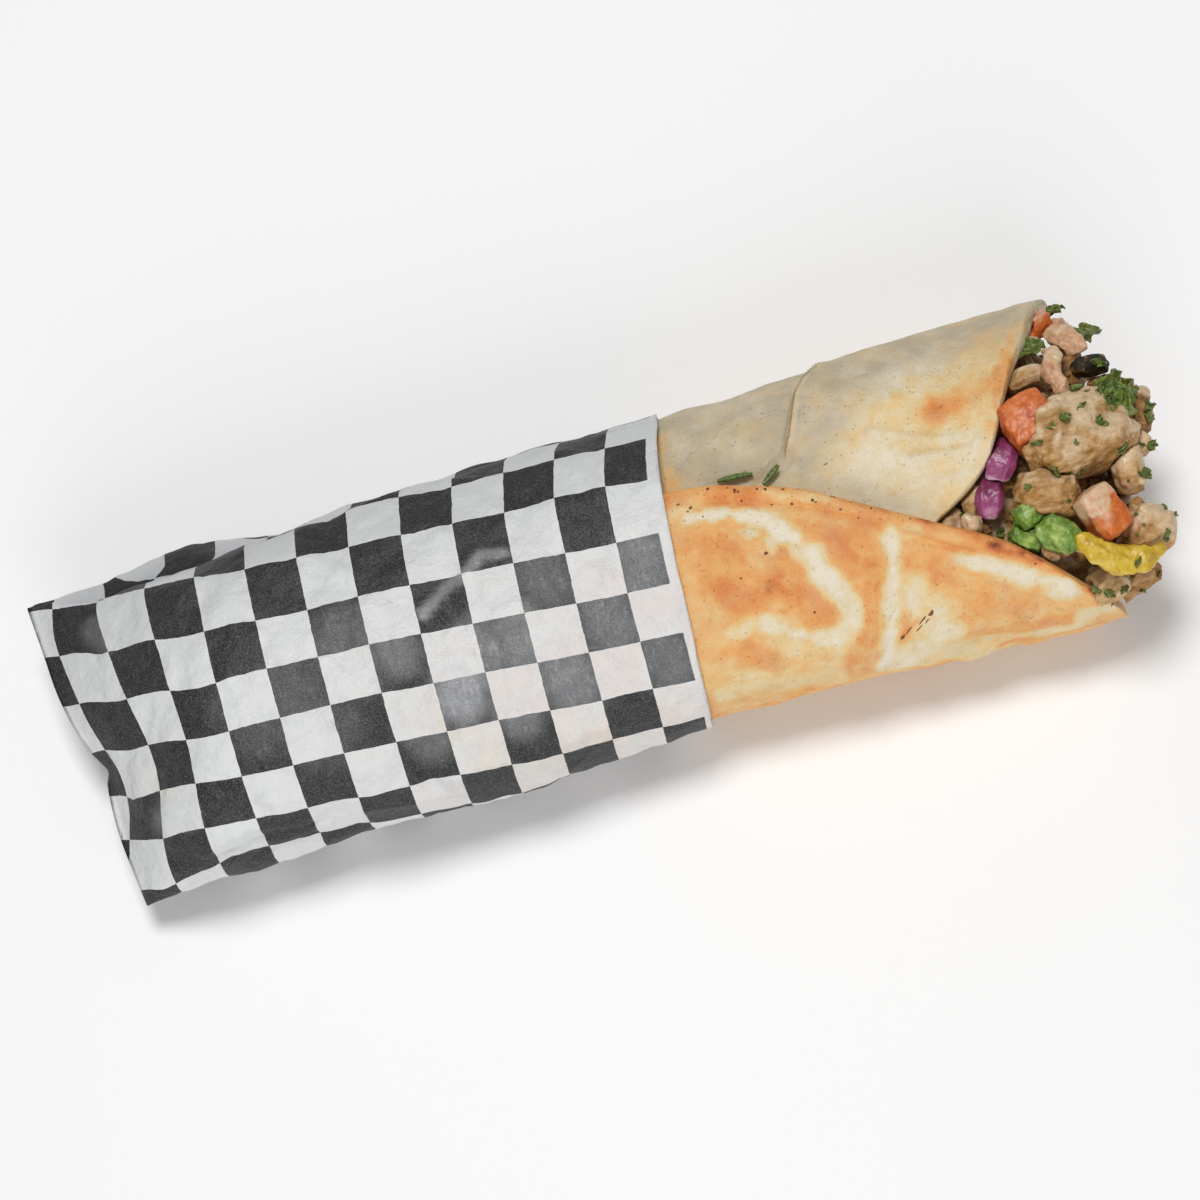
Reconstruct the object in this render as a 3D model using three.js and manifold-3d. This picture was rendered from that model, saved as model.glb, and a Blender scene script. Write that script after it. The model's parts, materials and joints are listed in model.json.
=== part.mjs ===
// A gyro wrap: one flatbread rolled round meat and salad, lying on its side in a checkered paper
// sleeve that is flat at its closed end. Millimetres, +Z up. +X runs along the roll, from the closed
// end of the sleeve to the open end of the bread. "turn" is an angle round the roll in degrees: 0 is
// the far side (+Y), 90 the top, 180 the near side (-Y), and -90 or 270 the underside.
import * as THREE from 'three';
import { mergeVertices } from 'three/addons/utils/BufferGeometryUtils.js';
import Module from 'manifold-3d';

const wasm = await Module();
wasm.setup();

const { lerp, smoothstep, degToRad: rad } = THREE.MathUtils;

// ---- Driving dimensions -------------------------------------------------------------------------
const ROLL_HALF_HEIGHT = 23; // of the round section, before its underside settles flat
const SETTLE = 1.5; // how far the soft roll has settled into its flat underside
const ROLL_CENTRE_Z = ROLL_HALF_HEIGHT - SETTLE;
const OVAL_POWER = 2.2; // 2 is an ellipse, more is squarer
const HALF_WIDTH = [[0, 40.3], [90, 40.3], [150, 39], [190, 39.8], [225, 41.8], [256, 42]];
const CENTRE_Y = [[0, 0.9], [90, 0.9], [150, 0.6], [190, 0], [225, -1.2], [256, -2.2]];

const PAPER = 0.8; // wall of the sleeve
const SLEEVE_LENGTH = 150;
const SLEEVE_GAP = 0.5; // between the paper and the bread
const END_GAP = 1.4; // more of it where the sleeve narrows
const CREASE_HEIGHT = 0.8;
const SEAL_HALF_WIDTH = 38.7; // the closed end, pressed flat
const SEAL_CENTRE_Y = 0.9;
const SEAL_HALF_THICKNESS = 1.2;
const CAVITY_START = 10; // where the two faces of the sleeve part inside
const SEAL_X = [[0, -4.3], [0.35, -3], [0.5, -0.3], [0.58, 2], [1, 2.6]]; // far side, 0, to near side, 1
const SEAL_FAR_Z = 25;
const SEAL_NEAR_Z = 11;
const GUSSET_FOLD = 5; // how far the far gusset's back fold stands out, at most
const GUSSET_X = 32; // where it does
const GUSSET_REACH = 32; // and how far to each side it fades away
const GUSSET_TURN = -8; // the fold's place round the roll
const GUSSET_SPREAD = 26; // and how far round it reaches
const CREASES_ROUND = 5; // soft creases over the top of the sleeve
const CREASE_LEAN = 9; // mm along the roll per radian of their slant
const CREASE_SPACING = 17;
const MOUTH_FAR_X = 155.2; // the mouth is cut a little askew
const MOUTH_NEAR_X = 145.2;
const TAPER_FAR = 58; // length over which the flat end opens into the oval
const TAPER_NEAR = 27;

const BREAD = 4.4; // thickness of the flatbread
const BREAD_START = 32; // its hidden end, inside the sleeve
const LAP_GAP = 0.5; // between the two laps of bread
const FLAP_STEP = 2.2; // how far the far flap still lies below the near one past the overlap
// Turn of the near flap's rim and of the far flap's edge at stations along the roll.
const RIM = [
  [0, 70], [150, 72], [170, 80], [187, 90], [210, 109], [223, 121], [231, 134], [238, 150], [246, 176],
  [254, 236],
];
const FREE_EDGE = [
  [0, 128], [196, 121], [211, 107], [223, 95], [229, 86], [239, 61], [244, 49], [248, 35], [254, 14],
];
const BREAD_END = 254; // its far tip at the open end
const TROUGH_BACK = 6; // how far its edge lies back under the filling
const PUFF_DEPTH = 1; // of the bread's soft blisters
const FAR_FOLD_X = 180; // the far flap's fold crosses turn FAR_FOLD_TURN here
const FAR_FOLD_TURN = 68;
const FAR_FOLD_SLANT = 15 / 47; // mm along the roll per degree of turn
const FAR_FOLD_RISE = 1.4; // height of the puffed sheet past the fold
const FAR_FOLD_SINK = 0.6; // and how far the sheet before it sinks
const FAR_FOLD_FADE = 14;
const NEAR_STEP_X = 195; // the near flap's raised fold ends here at its rim
const NEAR_STEP_SLANT = 7; // and this much nearer the sleeve at the side
const NEAR_STEP = 0.8;

const CORE_START = 37;
const CORE_END = 257;
const CORE_GAP = 1.6; // between the filling and the bread
const CORE_ROUGHNESS = 0.9;
const CORE_SINK = 4; // how much lower the meat lies where the roll is open
const CORE_ROUND_X = 236; // from here to its end the meat rounds off
const CORE_ROUND = 0.86; // 1 would end it in a point
const LAP_BLEND = 14; // degrees past the far flap's edge in which the meat still lies under it
const MOUND_X = 240; // from here the toppings' mound narrows
const MOUND_LENGTH = 28;
const MOUND_ROUND = 0.9;
const MOUND_DROP = 3; // of the point it narrows to, below the roll's middle
const PIECE_GAP = 0.45; // between neighbouring pieces of filling
const STRAND_SINK = 1.3; // height of a herb's middle over the bread, so that it lies on it

// ---- Curves and noise ---------------------------------------------------------------------------
/** Value at x of a smooth curve through [x, value] stations. */
function curveAt(stations, x) {
  const last = stations.length - 1;
  if (x <= stations[0][0]) return stations[0][1];
  if (x >= stations[last][0]) return stations[last][1];
  const i = stations.findIndex(([stationX]) => stationX > x) - 1;
  const slope = (k) => {
    const [xa, va] = stations[Math.max(k - 1, 0)];
    const [xb, vb] = stations[Math.min(k + 1, last)];
    return (vb - va) / (xb - xa);
  };
  const [x0, v0] = stations[i];
  const [x1, v1] = stations[i + 1];
  const h = x1 - x0;
  const t = (x - x0) / h;
  const s = 1 - t;
  return v0 * s * s * (1 + 2 * t) + v1 * t * t * (3 - 2 * t) + h * t * s * (slope(i) * s - slope(i + 1) * t);
}

/** Soft lumps between -1 and 1, the same for the same place and seed. */
function lumps(x, y, z, seed) {
  const a = Math.sin(1.7 * x + 2.1 * z + seed) * Math.cos(1.3 * y - seed * 2);
  const b = Math.sin(2.9 * y - 1.9 * x + seed * 3) * Math.cos(2.3 * z + seed);
  return 0.6 * a + 0.4 * b;
}

/** Whole steps from `from` to `to`, both ends included. */
const steps = (count, from, to) => Array.from({ length: count + 1 }, (_, i) => lerp(from, to, i / count));

// ---- The roll's oval ----------------------------------------------------------------------------
/** Point of the roll's oval, `inset` mm inside its skin. */
function ovalPoint(x, turn, inset) {
  const c = Math.cos(rad(turn));
  const s = Math.sin(rad(turn));
  const power = 2 / OVAL_POWER;
  const y = (curveAt(HALF_WIDTH, x) - inset) * Math.sign(c) * Math.abs(c) ** power;
  const z = (ROLL_HALF_HEIGHT - inset) * Math.sign(s) * Math.abs(s) ** power;
  return new THREE.Vector3(x, curveAt(CENTRE_Y, x) + y, Math.max(ROLL_CENTRE_Z + z, inset));
}

/** The same turn, between -180 and 180. */
const upTurn = (turn) => (turn > 180 ? turn - 360 : turn);

/** 0 on the far side of the roll, 1 on the near side. */
const nearness = (turn) => (1 - Math.cos(rad(turn))) / 2;

/** The same point on the whole roll, which narrows to the sleeve's flat seal at the closed end. */
function rollPoint(x, turn, inset) {
  const side = nearness(turn);
  const fromSeal = x - curveAt(SEAL_X, side);
  const open = Math.min(fromSeal / lerp(TAPER_FAR, TAPER_NEAR, side), 1);
  const point = ovalPoint(x, turn, inset);
  const flank = THREE.MathUtils.clamp(3 * Math.sin(rad(turn)), -1, 1);
  const flatZ = lerp(SEAL_FAR_Z, SEAL_NEAR_Z, side) + flank * (SEAL_HALF_THICKNESS - inset);
  const flatY = SEAL_CENTRE_Y + (SEAL_HALF_WIDTH - inset) * Math.cos(rad(turn));
  point.y = lerp(flatY, point.y, smoothstep(open, 0, 1));
  point.z = lerp(flatZ, point.z, Math.sin((open * Math.PI) / 2));
  return point;
}

/** Unit vector square to the oval at a turn, pointing out of the roll. */
function ovalNormal(x, turn) {
  const ahead = ovalPoint(x, turn + 2, 0);
  const behind = ovalPoint(x, turn - 2, 0);
  return new THREE.Vector3(0, ahead.z - behind.z, behind.y - ahead.y).normalize();
}

// ---- Meshes -------------------------------------------------------------------------------------
/** Closed body through rings of equal count; each end is closed between the ring's two sides. */
function skin(rings) {
  const count = rings[0].length;
  const index = [];
  const quad = (a, b, c, d) => index.push(a, b, c, a, c, d);
  for (let r = 0; r < rings.length - 1; r += 1) {
    for (let i = 0; i < count; i += 1) {
      const next = (i + 1) % count;
      quad(r * count + i, (r + 1) * count + i, (r + 1) * count + next, r * count + next);
    }
  }
  const cap = (base, flip) => {
    const add = (a, b, c) => index.push(base + a, base + (flip ? c : b), base + (flip ? b : c));
    add(0, 1, count - 1);
    for (let k = 1; k < count / 2 - 1; k += 1) {
      add(k, k + 1, count - k);
      add(k + 1, count - k - 1, count - k);
    }
    add(count / 2 - 1, count / 2, count / 2 + 1);
  };
  cap(0, false);
  cap((rings.length - 1) * count, true);
  const geometry = new THREE.BufferGeometry().setFromPoints(rings.flat());
  geometry.setIndex(index);
  return facingOut(geometry);
}

/** Six times the volume that a mesh's triangles enclose, negative if they face inwards. */
function signedVolume(geometry) {
  const p = geometry.getAttribute('position');
  const [a, b, c] = [0, 1, 2].map(() => new THREE.Vector3());
  let total = 0;
  for (let i = 0; i < geometry.index.count; i += 3) {
    a.fromBufferAttribute(p, geometry.index.getX(i));
    b.fromBufferAttribute(p, geometry.index.getX(i + 1));
    c.fromBufferAttribute(p, geometry.index.getX(i + 2));
    total += a.dot(b.cross(c));
  }
  return total;
}

/** Turns a closed mesh inside out if its faces point inwards. */
function facingOut(geometry) {
  if (signedVolume(geometry) < 0) {
    const index = geometry.index.array;
    for (let i = 0; i < index.length; i += 3) [index[i], index[i + 1]] = [index[i + 1], index[i]];
  }
  return geometry;
}

/** A copy with only merged positions left, as a boolean needs it. */
function welded(geometry) {
  const copy = geometry.clone();
  copy.deleteAttribute('normal');
  copy.deleteAttribute('uv');
  return mergeVertices(copy, 1e-4);
}

function toSolid(geometry) {
  const mesh = welded(geometry);
  const vertProperties = new Float32Array(mesh.getAttribute('position').array);
  const triVerts = new Uint32Array(mesh.index.array);
  return new wasm.Manifold(new wasm.Mesh({ numProp: 3, vertProperties, triVerts }));
}

function toGeometry(solid) {
  const { vertProperties, triVerts } = solid.getMesh();
  const geometry = new THREE.BufferGeometry();
  geometry.setAttribute('position', new THREE.BufferAttribute(vertProperties, 3));
  geometry.setIndex(new THREE.BufferAttribute(triVerts, 1));
  return geometry;
}

/** The same shape, grown outwards by `amount` along its vertex normals. */
function grown(geometry, amount) {
  const copy = welded(geometry);
  copy.computeVertexNormals();
  const p = copy.getAttribute('position');
  const n = copy.getAttribute('normal');
  for (let i = 0; i < p.array.length; i += 1) p.array[i] += amount * n.array[i];
  return copy;
}

/** `geometry` with room cut in it for every shape in `others`; only its largest body is kept. */
function cutClear(geometry, others) {
  geometry.computeBoundingBox();
  const near = others.filter((other) => {
    other.computeBoundingBox();
    return other.boundingBox.clone().expandByScalar(1).intersectsBox(geometry.boundingBox);
  });
  if (near.length === 0) return geometry;
  let solid = toSolid(geometry);
  for (const other of near) solid = solid.subtract(toSolid(grown(other, PIECE_GAP)));
  const bodies = solid.decompose().sort((a, b) => b.volume() - a.volume());
  return toGeometry(bodies[0]);
}

// ---- Paper sleeve -------------------------------------------------------------------------------
/** Point of the sleeve `s` mm from its closed end, measured along the middle. */
function sleevePoint(s, turn, inset) {
  const side = nearness(turn);
  const x = lerp(curveAt(SEAL_X, side), lerp(MOUTH_FAR_X, MOUTH_NEAR_X, side), s / SLEEVE_LENGTH);
  const point = rollPoint(x, turn, inset);
  const alongFold = Math.max(1 - Math.abs(x - GUSSET_X) / GUSSET_REACH, 0);
  const roundFold = Math.max(1 - Math.abs(upTurn(turn) - GUSSET_TURN) / GUSSET_SPREAD, 0);
  point.y += GUSSET_FOLD * smoothstep(alongFold * roundFold, 0, 1);
  const wave = Math.sin(rad(turn) * CREASES_ROUND + x / CREASE_LEAN) * Math.sin(x / CREASE_SPACING);
  const onTop = Math.max(Math.sin(rad(turn)), 0);
  point.z += CREASE_HEIGHT * Math.max(wave, 0) * onTop * smoothstep(s, 0, GUSSET_REACH);
  return point;
}

function makeSleeve() {
  const turns = steps(44, 0, 360).slice(0, -1);
  const outer = [0, 4, 9, 15, 22, 30, 40, 52, 66, 82, 98, 114, 128, 140, SLEEVE_LENGTH];
  const inner = [SLEEVE_LENGTH, 128, 98, 66, 46, 30, 18, CAVITY_START];
  const ring = (s, inset) => turns.map((turn) => sleevePoint(s, turn, inset));
  return skin([...outer.map((s) => ring(s, 0)), ...inner.map((s) => ring(s, PAPER))]);
}

// ---- Flatbread ----------------------------------------------------------------------------------
/** How far the bread's outer face lies inside the oval. */
function breadInset(x, turn) {
  const inSleeve = 1 - smoothstep(x, SLEEVE_LENGTH + 2, SLEEVE_LENGTH + 14);
  const lap = smoothstep(turn, curveAt(RIM, x) - 48, curveAt(RIM, x) - 3);
  const under = lerp(BREAD + LAP_GAP, FLAP_STEP, smoothstep(x, 205, 232));
  const gap = lerp(END_GAP, SLEEVE_GAP, smoothstep(x, 60, 80));
  return inSleeve * (PAPER + gap) + lap * under;
}

/** Low relief of the bread, into its face: soft puffs, the far side's fold and the near side's step. */
function breadRelief(x, turn) {
  const puffs = (PUFF_DEPTH / 2) * (1 + Math.sin(x / 7 + 1) * Math.sin(rad(turn) * 3 + x / 19));
  const onFar = smoothstep(turn, -10, 20) * (1 - smoothstep(turn, 70, 84));
  const foldX = FAR_FOLD_X + FAR_FOLD_SLANT * (FAR_FOLD_TURN - turn);
  const fold = x < foldX ? FAR_FOLD_SINK : -FAR_FOLD_RISE * Math.exp((foldX - x) / FAR_FOLD_FADE);
  const nearTurn = turn + 360;
  const onNear = smoothstep(nearTurn, 105, 115) * (1 - smoothstep(nearTurn, 170, 180));
  const stepX = NEAR_STEP_X - NEAR_STEP_SLANT * smoothstep(nearTurn, 115, 170);
  const step = NEAR_STEP * smoothstep(x, stepX - 1.5, stepX + 1.5);
  return smoothstep(x, SLEEVE_LENGTH + 6, SLEEVE_LENGTH + 20) * (puffs + fold * onFar + step * onNear);
}

function makeBread() {
  const across = 31;
  const hidden = [BREAD_START, 48, 66, 98, 128, 146];
  const bare = [...steps(12, 156, 228), 232, 237, 241, 245, 248, 251, BREAD_END];
  const rings = [...hidden, ...bare].map((station) => {
    const turns = steps(across - 1, curveAt(FREE_EDGE, station), curveAt(RIM, station) - 360);
    const point = (turn, depth) => {
      const under = smoothstep(-Math.sin(rad(turn)), 0, 0.8);
      const x = station - TROUGH_BACK * under * smoothstep(station, 215, BREAD_END);
      const relief = depth > BREAD / 2 ? 0 : breadRelief(x, turn);
      return rollPoint(x, turn, breadInset(x, turn) + relief + depth);
    };
    const outer = turns.map((turn) => point(turn, 0));
    const inner = turns.map((turn) => point(turn, BREAD)).reverse();
    const farEdge = point(turns[0] + 2, BREAD / 2);
    const rim = point(turns[across - 1] - 2.5, BREAD / 2);
    return [farEdge, ...outer, rim, ...inner];
  });
  return skin(rings);
}

// ---- Filling ------------------------------------------------------------------------------------
/** Scale at x of a roll that narrows over `length` from `start`, and does so fully with `round` at 1. */
function roundOff(x, start, length, round) {
  const past = THREE.MathUtils.clamp((x - start) / length, 0, 1);
  return Math.sqrt(1 - round * past * past);
}

/** Point `drop` mm below the middle of the roll. */
const middlePoint = (x, drop) => new THREE.Vector3(x, curveAt(CENTRE_Y, x), ROLL_CENTRE_Z - drop);

/** Point on the mound that the toppings sit on. */
function moundPoint(x, turn) {
  const scale = roundOff(x, MOUND_X, MOUND_LENGTH, MOUND_ROUND);
  return middlePoint(x, MOUND_DROP).lerp(ovalPoint(x, turn, BREAD / 2), scale);
}

/** How far inside the oval the meat's face lies, under the bread's two laps. */
function coreInset(x, turn) {
  const farEdge = curveAt(FREE_EDGE, x);
  const up = upTurn(turn);
  const underFlap = up > -20 && up <= 90 && up < farEdge + LAP_BLEND;
  const lap = underFlap ? breadInset(x, Math.min(up, farEdge)) : 0;
  const sink = CORE_SINK * smoothstep(x, 208, 228) * smoothstep(Math.sin(rad(turn)), -0.2, 0.6);
  const rough = CORE_ROUGHNESS * (1 + lumps(x / 5, turn / 14, x / 9, 2));
  return Math.max(breadInset(x, -90), lap) + BREAD + CORE_GAP + sink + rough;
}

/** The meat that fills the roll from end to end, out to its uneven surface. */
function makeCore() {
  const turns = steps(26, 0, 360).slice(0, -1);
  const hidden = [CORE_START, 50, 66, 98, 130, 160, 190];
  const stations = [...hidden, 205, 214, 222, 230, 237, 243, 248, 252, 255, CORE_END];
  const rings = stations.map((x) => turns.map((turn) => {
    const scale = roundOff(x, CORE_ROUND_X, CORE_END - CORE_ROUND_X, CORE_ROUND);
    const point = middlePoint(x, CORE_SINK).lerp(rollPoint(x, turn, coreInset(x, turn)), scale);
    point.x += CORE_ROUGHNESS * lumps(turn / 30, x / 6, turn / 50, 5) * smoothstep(x, CORE_ROUND_X, CORE_END);
    return point;
  }));
  return skin(rings);
}

/** Rounded box or ball of `size`, with `power` from 2, a ball, to 8, nearly a box, and lumpy faces. */
function chunk({ size, power = 3, rough = 0.12, seed = 1, segments = 4 }) {
  const geometry = welded(new THREE.BoxGeometry(2, 2, 2, segments, segments, segments));
  const p = geometry.getAttribute('position');
  for (let i = 0; i < p.count; i += 1) {
    const [x, y, z] = [p.getX(i), p.getY(i), p.getZ(i)];
    const norm = (Math.abs(x) ** power + Math.abs(y) ** power + Math.abs(z) ** power) ** (1 / power);
    const scale = (1 + rough * lumps(2 * x, 2 * y, 2 * z, seed)) / norm / 2;
    p.setXYZ(i, x * scale * size[0], y * scale * size[1], z * scale * size[2]);
  }
  return geometry;
}

/** Strip bent along a curve: `path` gives its middle and `width` its half width, towards `across`. */
function ribbon({ path, across, width, thickness, count = 8 }) {
  const rings = steps(count, 0, 1).map((t) => {
    const middle = path(t);
    const ahead = path(Math.min(t + 0.02, 1)).sub(path(Math.max(t - 0.02, 0))).normalize();
    const normal = ahead.cross(across(t)).normalize();
    const corner = (w, h) => middle.clone()
      .addScaledVector(across(t), w * width(t))
      .addScaledVector(normal, (h * thickness(t)) / 2);
    return [corner(-1, 0), corner(-0.6, 1), corner(0.6, 1), corner(1, 0), corner(0.6, -1), corner(-0.6, -1)];
  });
  return skin(rings);
}

/** Bent slab, as a slice of onion or pepper is: `arc` degrees of a ring of radius `radius`. */
function slice({ radius, arc, wall, width, taper = 0.5, wave = 0 }) {
  const full = (t) => 1 - taper * Math.abs(2 * t - 1) ** 2.5;
  return ribbon({
    path: (t) => {
      const angle = rad(arc * (t - 0.5));
      const sideways = wave * Math.sin(9 * t);
      return new THREE.Vector3(radius * Math.sin(angle), sideways, radius * (Math.cos(angle) - 1));
    },
    across: () => new THREE.Vector3(0, 1, 0),
    width: (t) => (width / 2) * full(t),
    thickness: (t) => wall * full(t),
  });
}

/** Curly leaf: a wavy sheet with the same triangles on both faces. */
function leaf({ length, width, thickness = 0.9, wave = 1.5, seed = 1, point = 1 }) {
  const rings = steps(8, 0, 1).map((t) => {
    const half = Math.max((width / 2) * Math.sin(Math.PI * lerp(0.08, 0.94, t ** point)), 0.4);
    const face = (side) => steps(4, -1, 1).map((w) => {
      const x = length * (t - 0.5);
      const y = half * w;
      const z = wave * Math.sin(7 * t + 3 * w + seed) * (0.4 + 0.6 * Math.abs(w)) + (side * thickness) / 2;
      return new THREE.Vector3(x, y, z);
    });
    return [...face(1), ...face(-1).reverse()];
  });
  return skin(rings.map((ring) => [...ring.slice(1), ring[0]]));
}

/** Moves a piece to its place on the mound: its own z points out of the roll there. */
function onMound(geometry, { x, turn, rise = 0, spin = 0, lean = 0, roll = 0 }) {
  const out = ovalNormal(x, turn);
  const alongRoll = new THREE.Vector3(1, 0, 0);
  const round = out.clone().cross(alongRoll);
  const frame = new THREE.Matrix4().makeBasis(alongRoll, round, out);
  const angles = new THREE.Euler(rad(roll), rad(lean), rad(spin), 'ZYX');
  const turned = new THREE.Matrix4().makeRotationFromEuler(angles);
  const place = moundPoint(x, turn).addScaledVector(out, rise);
  return geometry.clone().applyMatrix4(frame.multiply(turned).setPosition(place));
}

// Every visible piece of filling: what it is, its shape, its place on the mound and its colour.
const PIECES = [
  ['tomato_cube', chunk({ size: [12.4, 12.2, 11], power: 7, rough: 0.06, seed: 4, segments: 3 }),
    { x: 237.1, turn: 84.6, rise: -0.2, spin: 12, lean: -6 }, '#cc5a2c'],
  ['tomato_wedge', chunk({ size: [8.8, 12.5, 9], power: 7, rough: 0.07, seed: 7, segments: 3 }),
    { x: 246, turn: 121, rise: 3, spin: 22, lean: 14 }, '#d8603c'],
  ['banana_pepper', slice({ radius: 13.5, arc: 98, wall: 6.6, width: 6, taper: 0.7 }),
    { x: 246, turn: 139.5, rise: 6, spin: -26, roll: 74 }, '#d2b021'],
  ['meat_chunk_large', chunk({ size: [28, 20, 17], rough: 0.14, seed: 2, segments: 4 }),
    { x: 247, turn: 91, rise: -2, spin: 10, lean: 18 }, '#a8804f'],
  ['meat_chunk_lower', chunk({ size: [16, 12, 12], rough: 0.15, seed: 9, segments: 3 }),
    { x: 235.5, turn: 108.5, rise: -1.2, spin: -20 }, '#a07440'],
  ['onion_upper', slice({ radius: 8, arc: 75, wall: 3.4, width: 9, taper: 0.25 }),
    { x: 227.8, turn: 92, rise: -0.8, spin: 62 }, '#8a3a74'],
  ['onion_lower', slice({ radius: 7, arc: 80, wall: 3.2, width: 7, taper: 0.3 }),
    { x: 222.8, turn: 103.5, rise: -1.8, spin: 70 }, '#8f4a80'],
  ['meat_bit_inner', chunk({ size: [6.5, 9.5, 7], rough: 0.16, seed: 5, segments: 2 }),
    { x: 219.4, turn: 103, rise: -5.5 }, '#b0826a'],
  ['pepper_green_1', chunk({ size: [8, 6.5, 7], power: 4, rough: 0.2, seed: 3, segments: 2 }),
    { x: 229.9, turn: 113.4, rise: 1, spin: 20, lean: 10 }, '#5f7f2f'],
  ['pepper_green_2', chunk({ size: [8, 6.5, 7], power: 4, rough: 0.2, seed: 6, segments: 2 }),
    { x: 227.8, turn: 122, rise: -2.4, spin: -25 }, '#55752c'],
  ['pepper_green_3', chunk({ size: [8, 10.5, 7], power: 4, rough: 0.2, seed: 8, segments: 3 }),
    { x: 235, turn: 123.5, rise: 1.4, spin: 40, lean: -8 }, '#5a8030'],
  ['meat_slice_right', chunk({ size: [11.5, 12, 8.5], power: 3.4, rough: 0.2, seed: 12, segments: 3 }),
    { x: 256, turn: 138, rise: 3.2, spin: -30, lean: 20 }, '#a5776a'],
  ['meat_slice_low', chunk({ size: [13, 8, 8], power: 3.2, rough: 0.2, seed: 14, segments: 3 }),
    { x: 250.3, turn: 161.5, rise: -1.4, spin: 24 }, '#8d6a58'],
  ['chicken_low', chunk({ size: [11, 8, 9], rough: 0.18, seed: 15, segments: 3 }),
    { x: 243.6, turn: 156.5, rise: -1.6, spin: 14 }, '#c9ad84'],
  ['chicken_edge', chunk({ size: [7.5, 15, 9], power: 3.2, rough: 0.18, seed: 22, segments: 3 }),
    { x: 256.4, turn: 106, rise: -1.6, spin: -8 }, '#cba47c'],
  ['chicken_tip', chunk({ size: [6, 6, 5.5], rough: 0.18, seed: 24, segments: 2 }),
    { x: 261.4, turn: 100.5, rise: -0.6, spin: 20 }, '#c9a873'],
  ['tomato_inner', chunk({ size: [7.5, 7.5, 6], power: 6, rough: 0.06, seed: 16, segments: 2 }),
    { x: 248.4, turn: 30, rise: -0.9, spin: 20 }, '#b0432c'],
  ['onion_strand_top', slice({ radius: 13, arc: 72, wall: 3, width: 7.5, taper: 0.35, wave: 0.6 }),
    { x: 253.2, turn: 40.5, rise: 0.4, spin: -76 }, '#d79c84'],
  ['onion_strand_hanging', slice({ radius: 14, arc: 62, wall: 3, width: 5, taper: 0.4, wave: 0.8 }),
    { x: 247.2, turn: 68, rise: 1.2, spin: -96 }, '#d2a283'],
  ['lettuce_inner', leaf({ length: 7, width: 5.5, wave: 1, seed: 2, thickness: 1.2 }),
    { x: 244, turn: 52, rise: -1.6, spin: 15 }, '#4c6b26'],
  ['onion_slice_inner', slice({ radius: 16, arc: 32, wall: 3.4, width: 5.5, taper: 0.2 }),
    { x: 240.8, turn: 64.5, rise: -3.2, spin: 6 }, '#9a7254'],
  ['lettuce_tip', leaf({ length: 9, width: 6.5, wave: 1, seed: 5, point: 0.8 }),
    { x: 257.6, turn: 33.5, rise: 0.6, spin: 14, lean: 14 }, '#6f7f56'],
  ['meat_seared_top', chunk({ size: [10, 5, 6], rough: 0.2, seed: 18, segments: 2 }),
    { x: 256.6, turn: 62.5, rise: 0.2, spin: -16 }, '#3a3120'],
  ['meat_seared_end', chunk({ size: [6.5, 12.5, 9], rough: 0.2, seed: 20, segments: 3 }),
    { x: 264, turn: 85, rise: 1.4, spin: -14 }, '#42452a'],
  ['parsley_sprig', leaf({ length: 12, width: 8.5, wave: 2, seed: 8, thickness: 1.4 }),
    { x: 258.3, turn: 83, rise: 6, spin: -70, lean: 8 }, '#47702a'],
  ['herb_far', leaf({ length: 6, width: 4.2, wave: 0.8, seed: 3 }),
    { x: 254.6, turn: 11, rise: 3.4, spin: -40 }, '#50702f'],
];

/** A cut herb lying on the bread beside the near flap's rim. */
function breadStrand({ x, turn, length, spin, half }) {
  const path = (t) => new THREE.Vector3(length * (t - 0.5), 0, 0.5 * Math.sin(Math.PI * t));
  const blade = ribbon({
    path,
    across: () => new THREE.Vector3(0, 1, 0),
    width: (t) => half * (1 - 0.5 * (2 * t - 1) ** 4),
    thickness: () => 1.1,
    count: 4,
  });
  const out = ovalNormal(x, turn);
  const round = out.clone().cross(new THREE.Vector3(1, 0, 0));
  const frame = new THREE.Matrix4().makeBasis(new THREE.Vector3(1, 0, 0), round, out);
  frame.multiply(new THREE.Matrix4().makeRotationZ(rad(spin)));
  const inset = breadInset(x, turn) + breadRelief(x, turn) - STRAND_SINK;
  return blade.applyMatrix4(frame.setPosition(ovalPoint(x, turn, inset)));
}

const BREAD_STRANDS = [
  ['chive_long', { x: 177.2, turn: 74, length: 9.3, spin: 36, half: 0.9 }],
  ['chive_short', { x: 167.6, turn: 72, length: 8.5, spin: -6, half: 0.8 }],
];

// ---- The scene graph ----------------------------------------------------------------------------
const wrap = new THREE.Group();

function addNode(name, geometry, color, roughness) {
  const flat = geometry.index ? geometry.clone() : geometry;
  flat.computeVertexNormals();
  const mesh = new THREE.Mesh(flat, new THREE.MeshStandardMaterial({ color, roughness, metalness: 0 }));
  mesh.name = name;
  wrap.add(mesh);
  return flat;
}

const bread = makeBread();
addNode('paper_sleeve', makeSleeve(), '#d8dcde', 0.55);
addNode('flatbread', bread, '#dfb67c', 0.75);

const placed = [bread];
for (const [name, shape, place, color] of PIECES) {
  const piece = cutClear(onMound(shape, place), placed);
  addNode(name, piece, color, 0.5);
  placed.push(piece);
}
addNode('meat_filling', cutClear(makeCore(), placed), '#8a6644', 0.7);
for (const [name, place] of BREAD_STRANDS) {
  addNode(name, cutClear(breadStrand(place), [bread]), '#3f6a2a', 0.5);
}

// The origin is the middle of the underside of the whole wrap.
const box = new THREE.Box3().setFromObject(wrap);
const middle = box.getCenter(new THREE.Vector3());
wrap.position.set(-middle.x, -middle.y, -box.min.z);

export default wrap;
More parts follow.
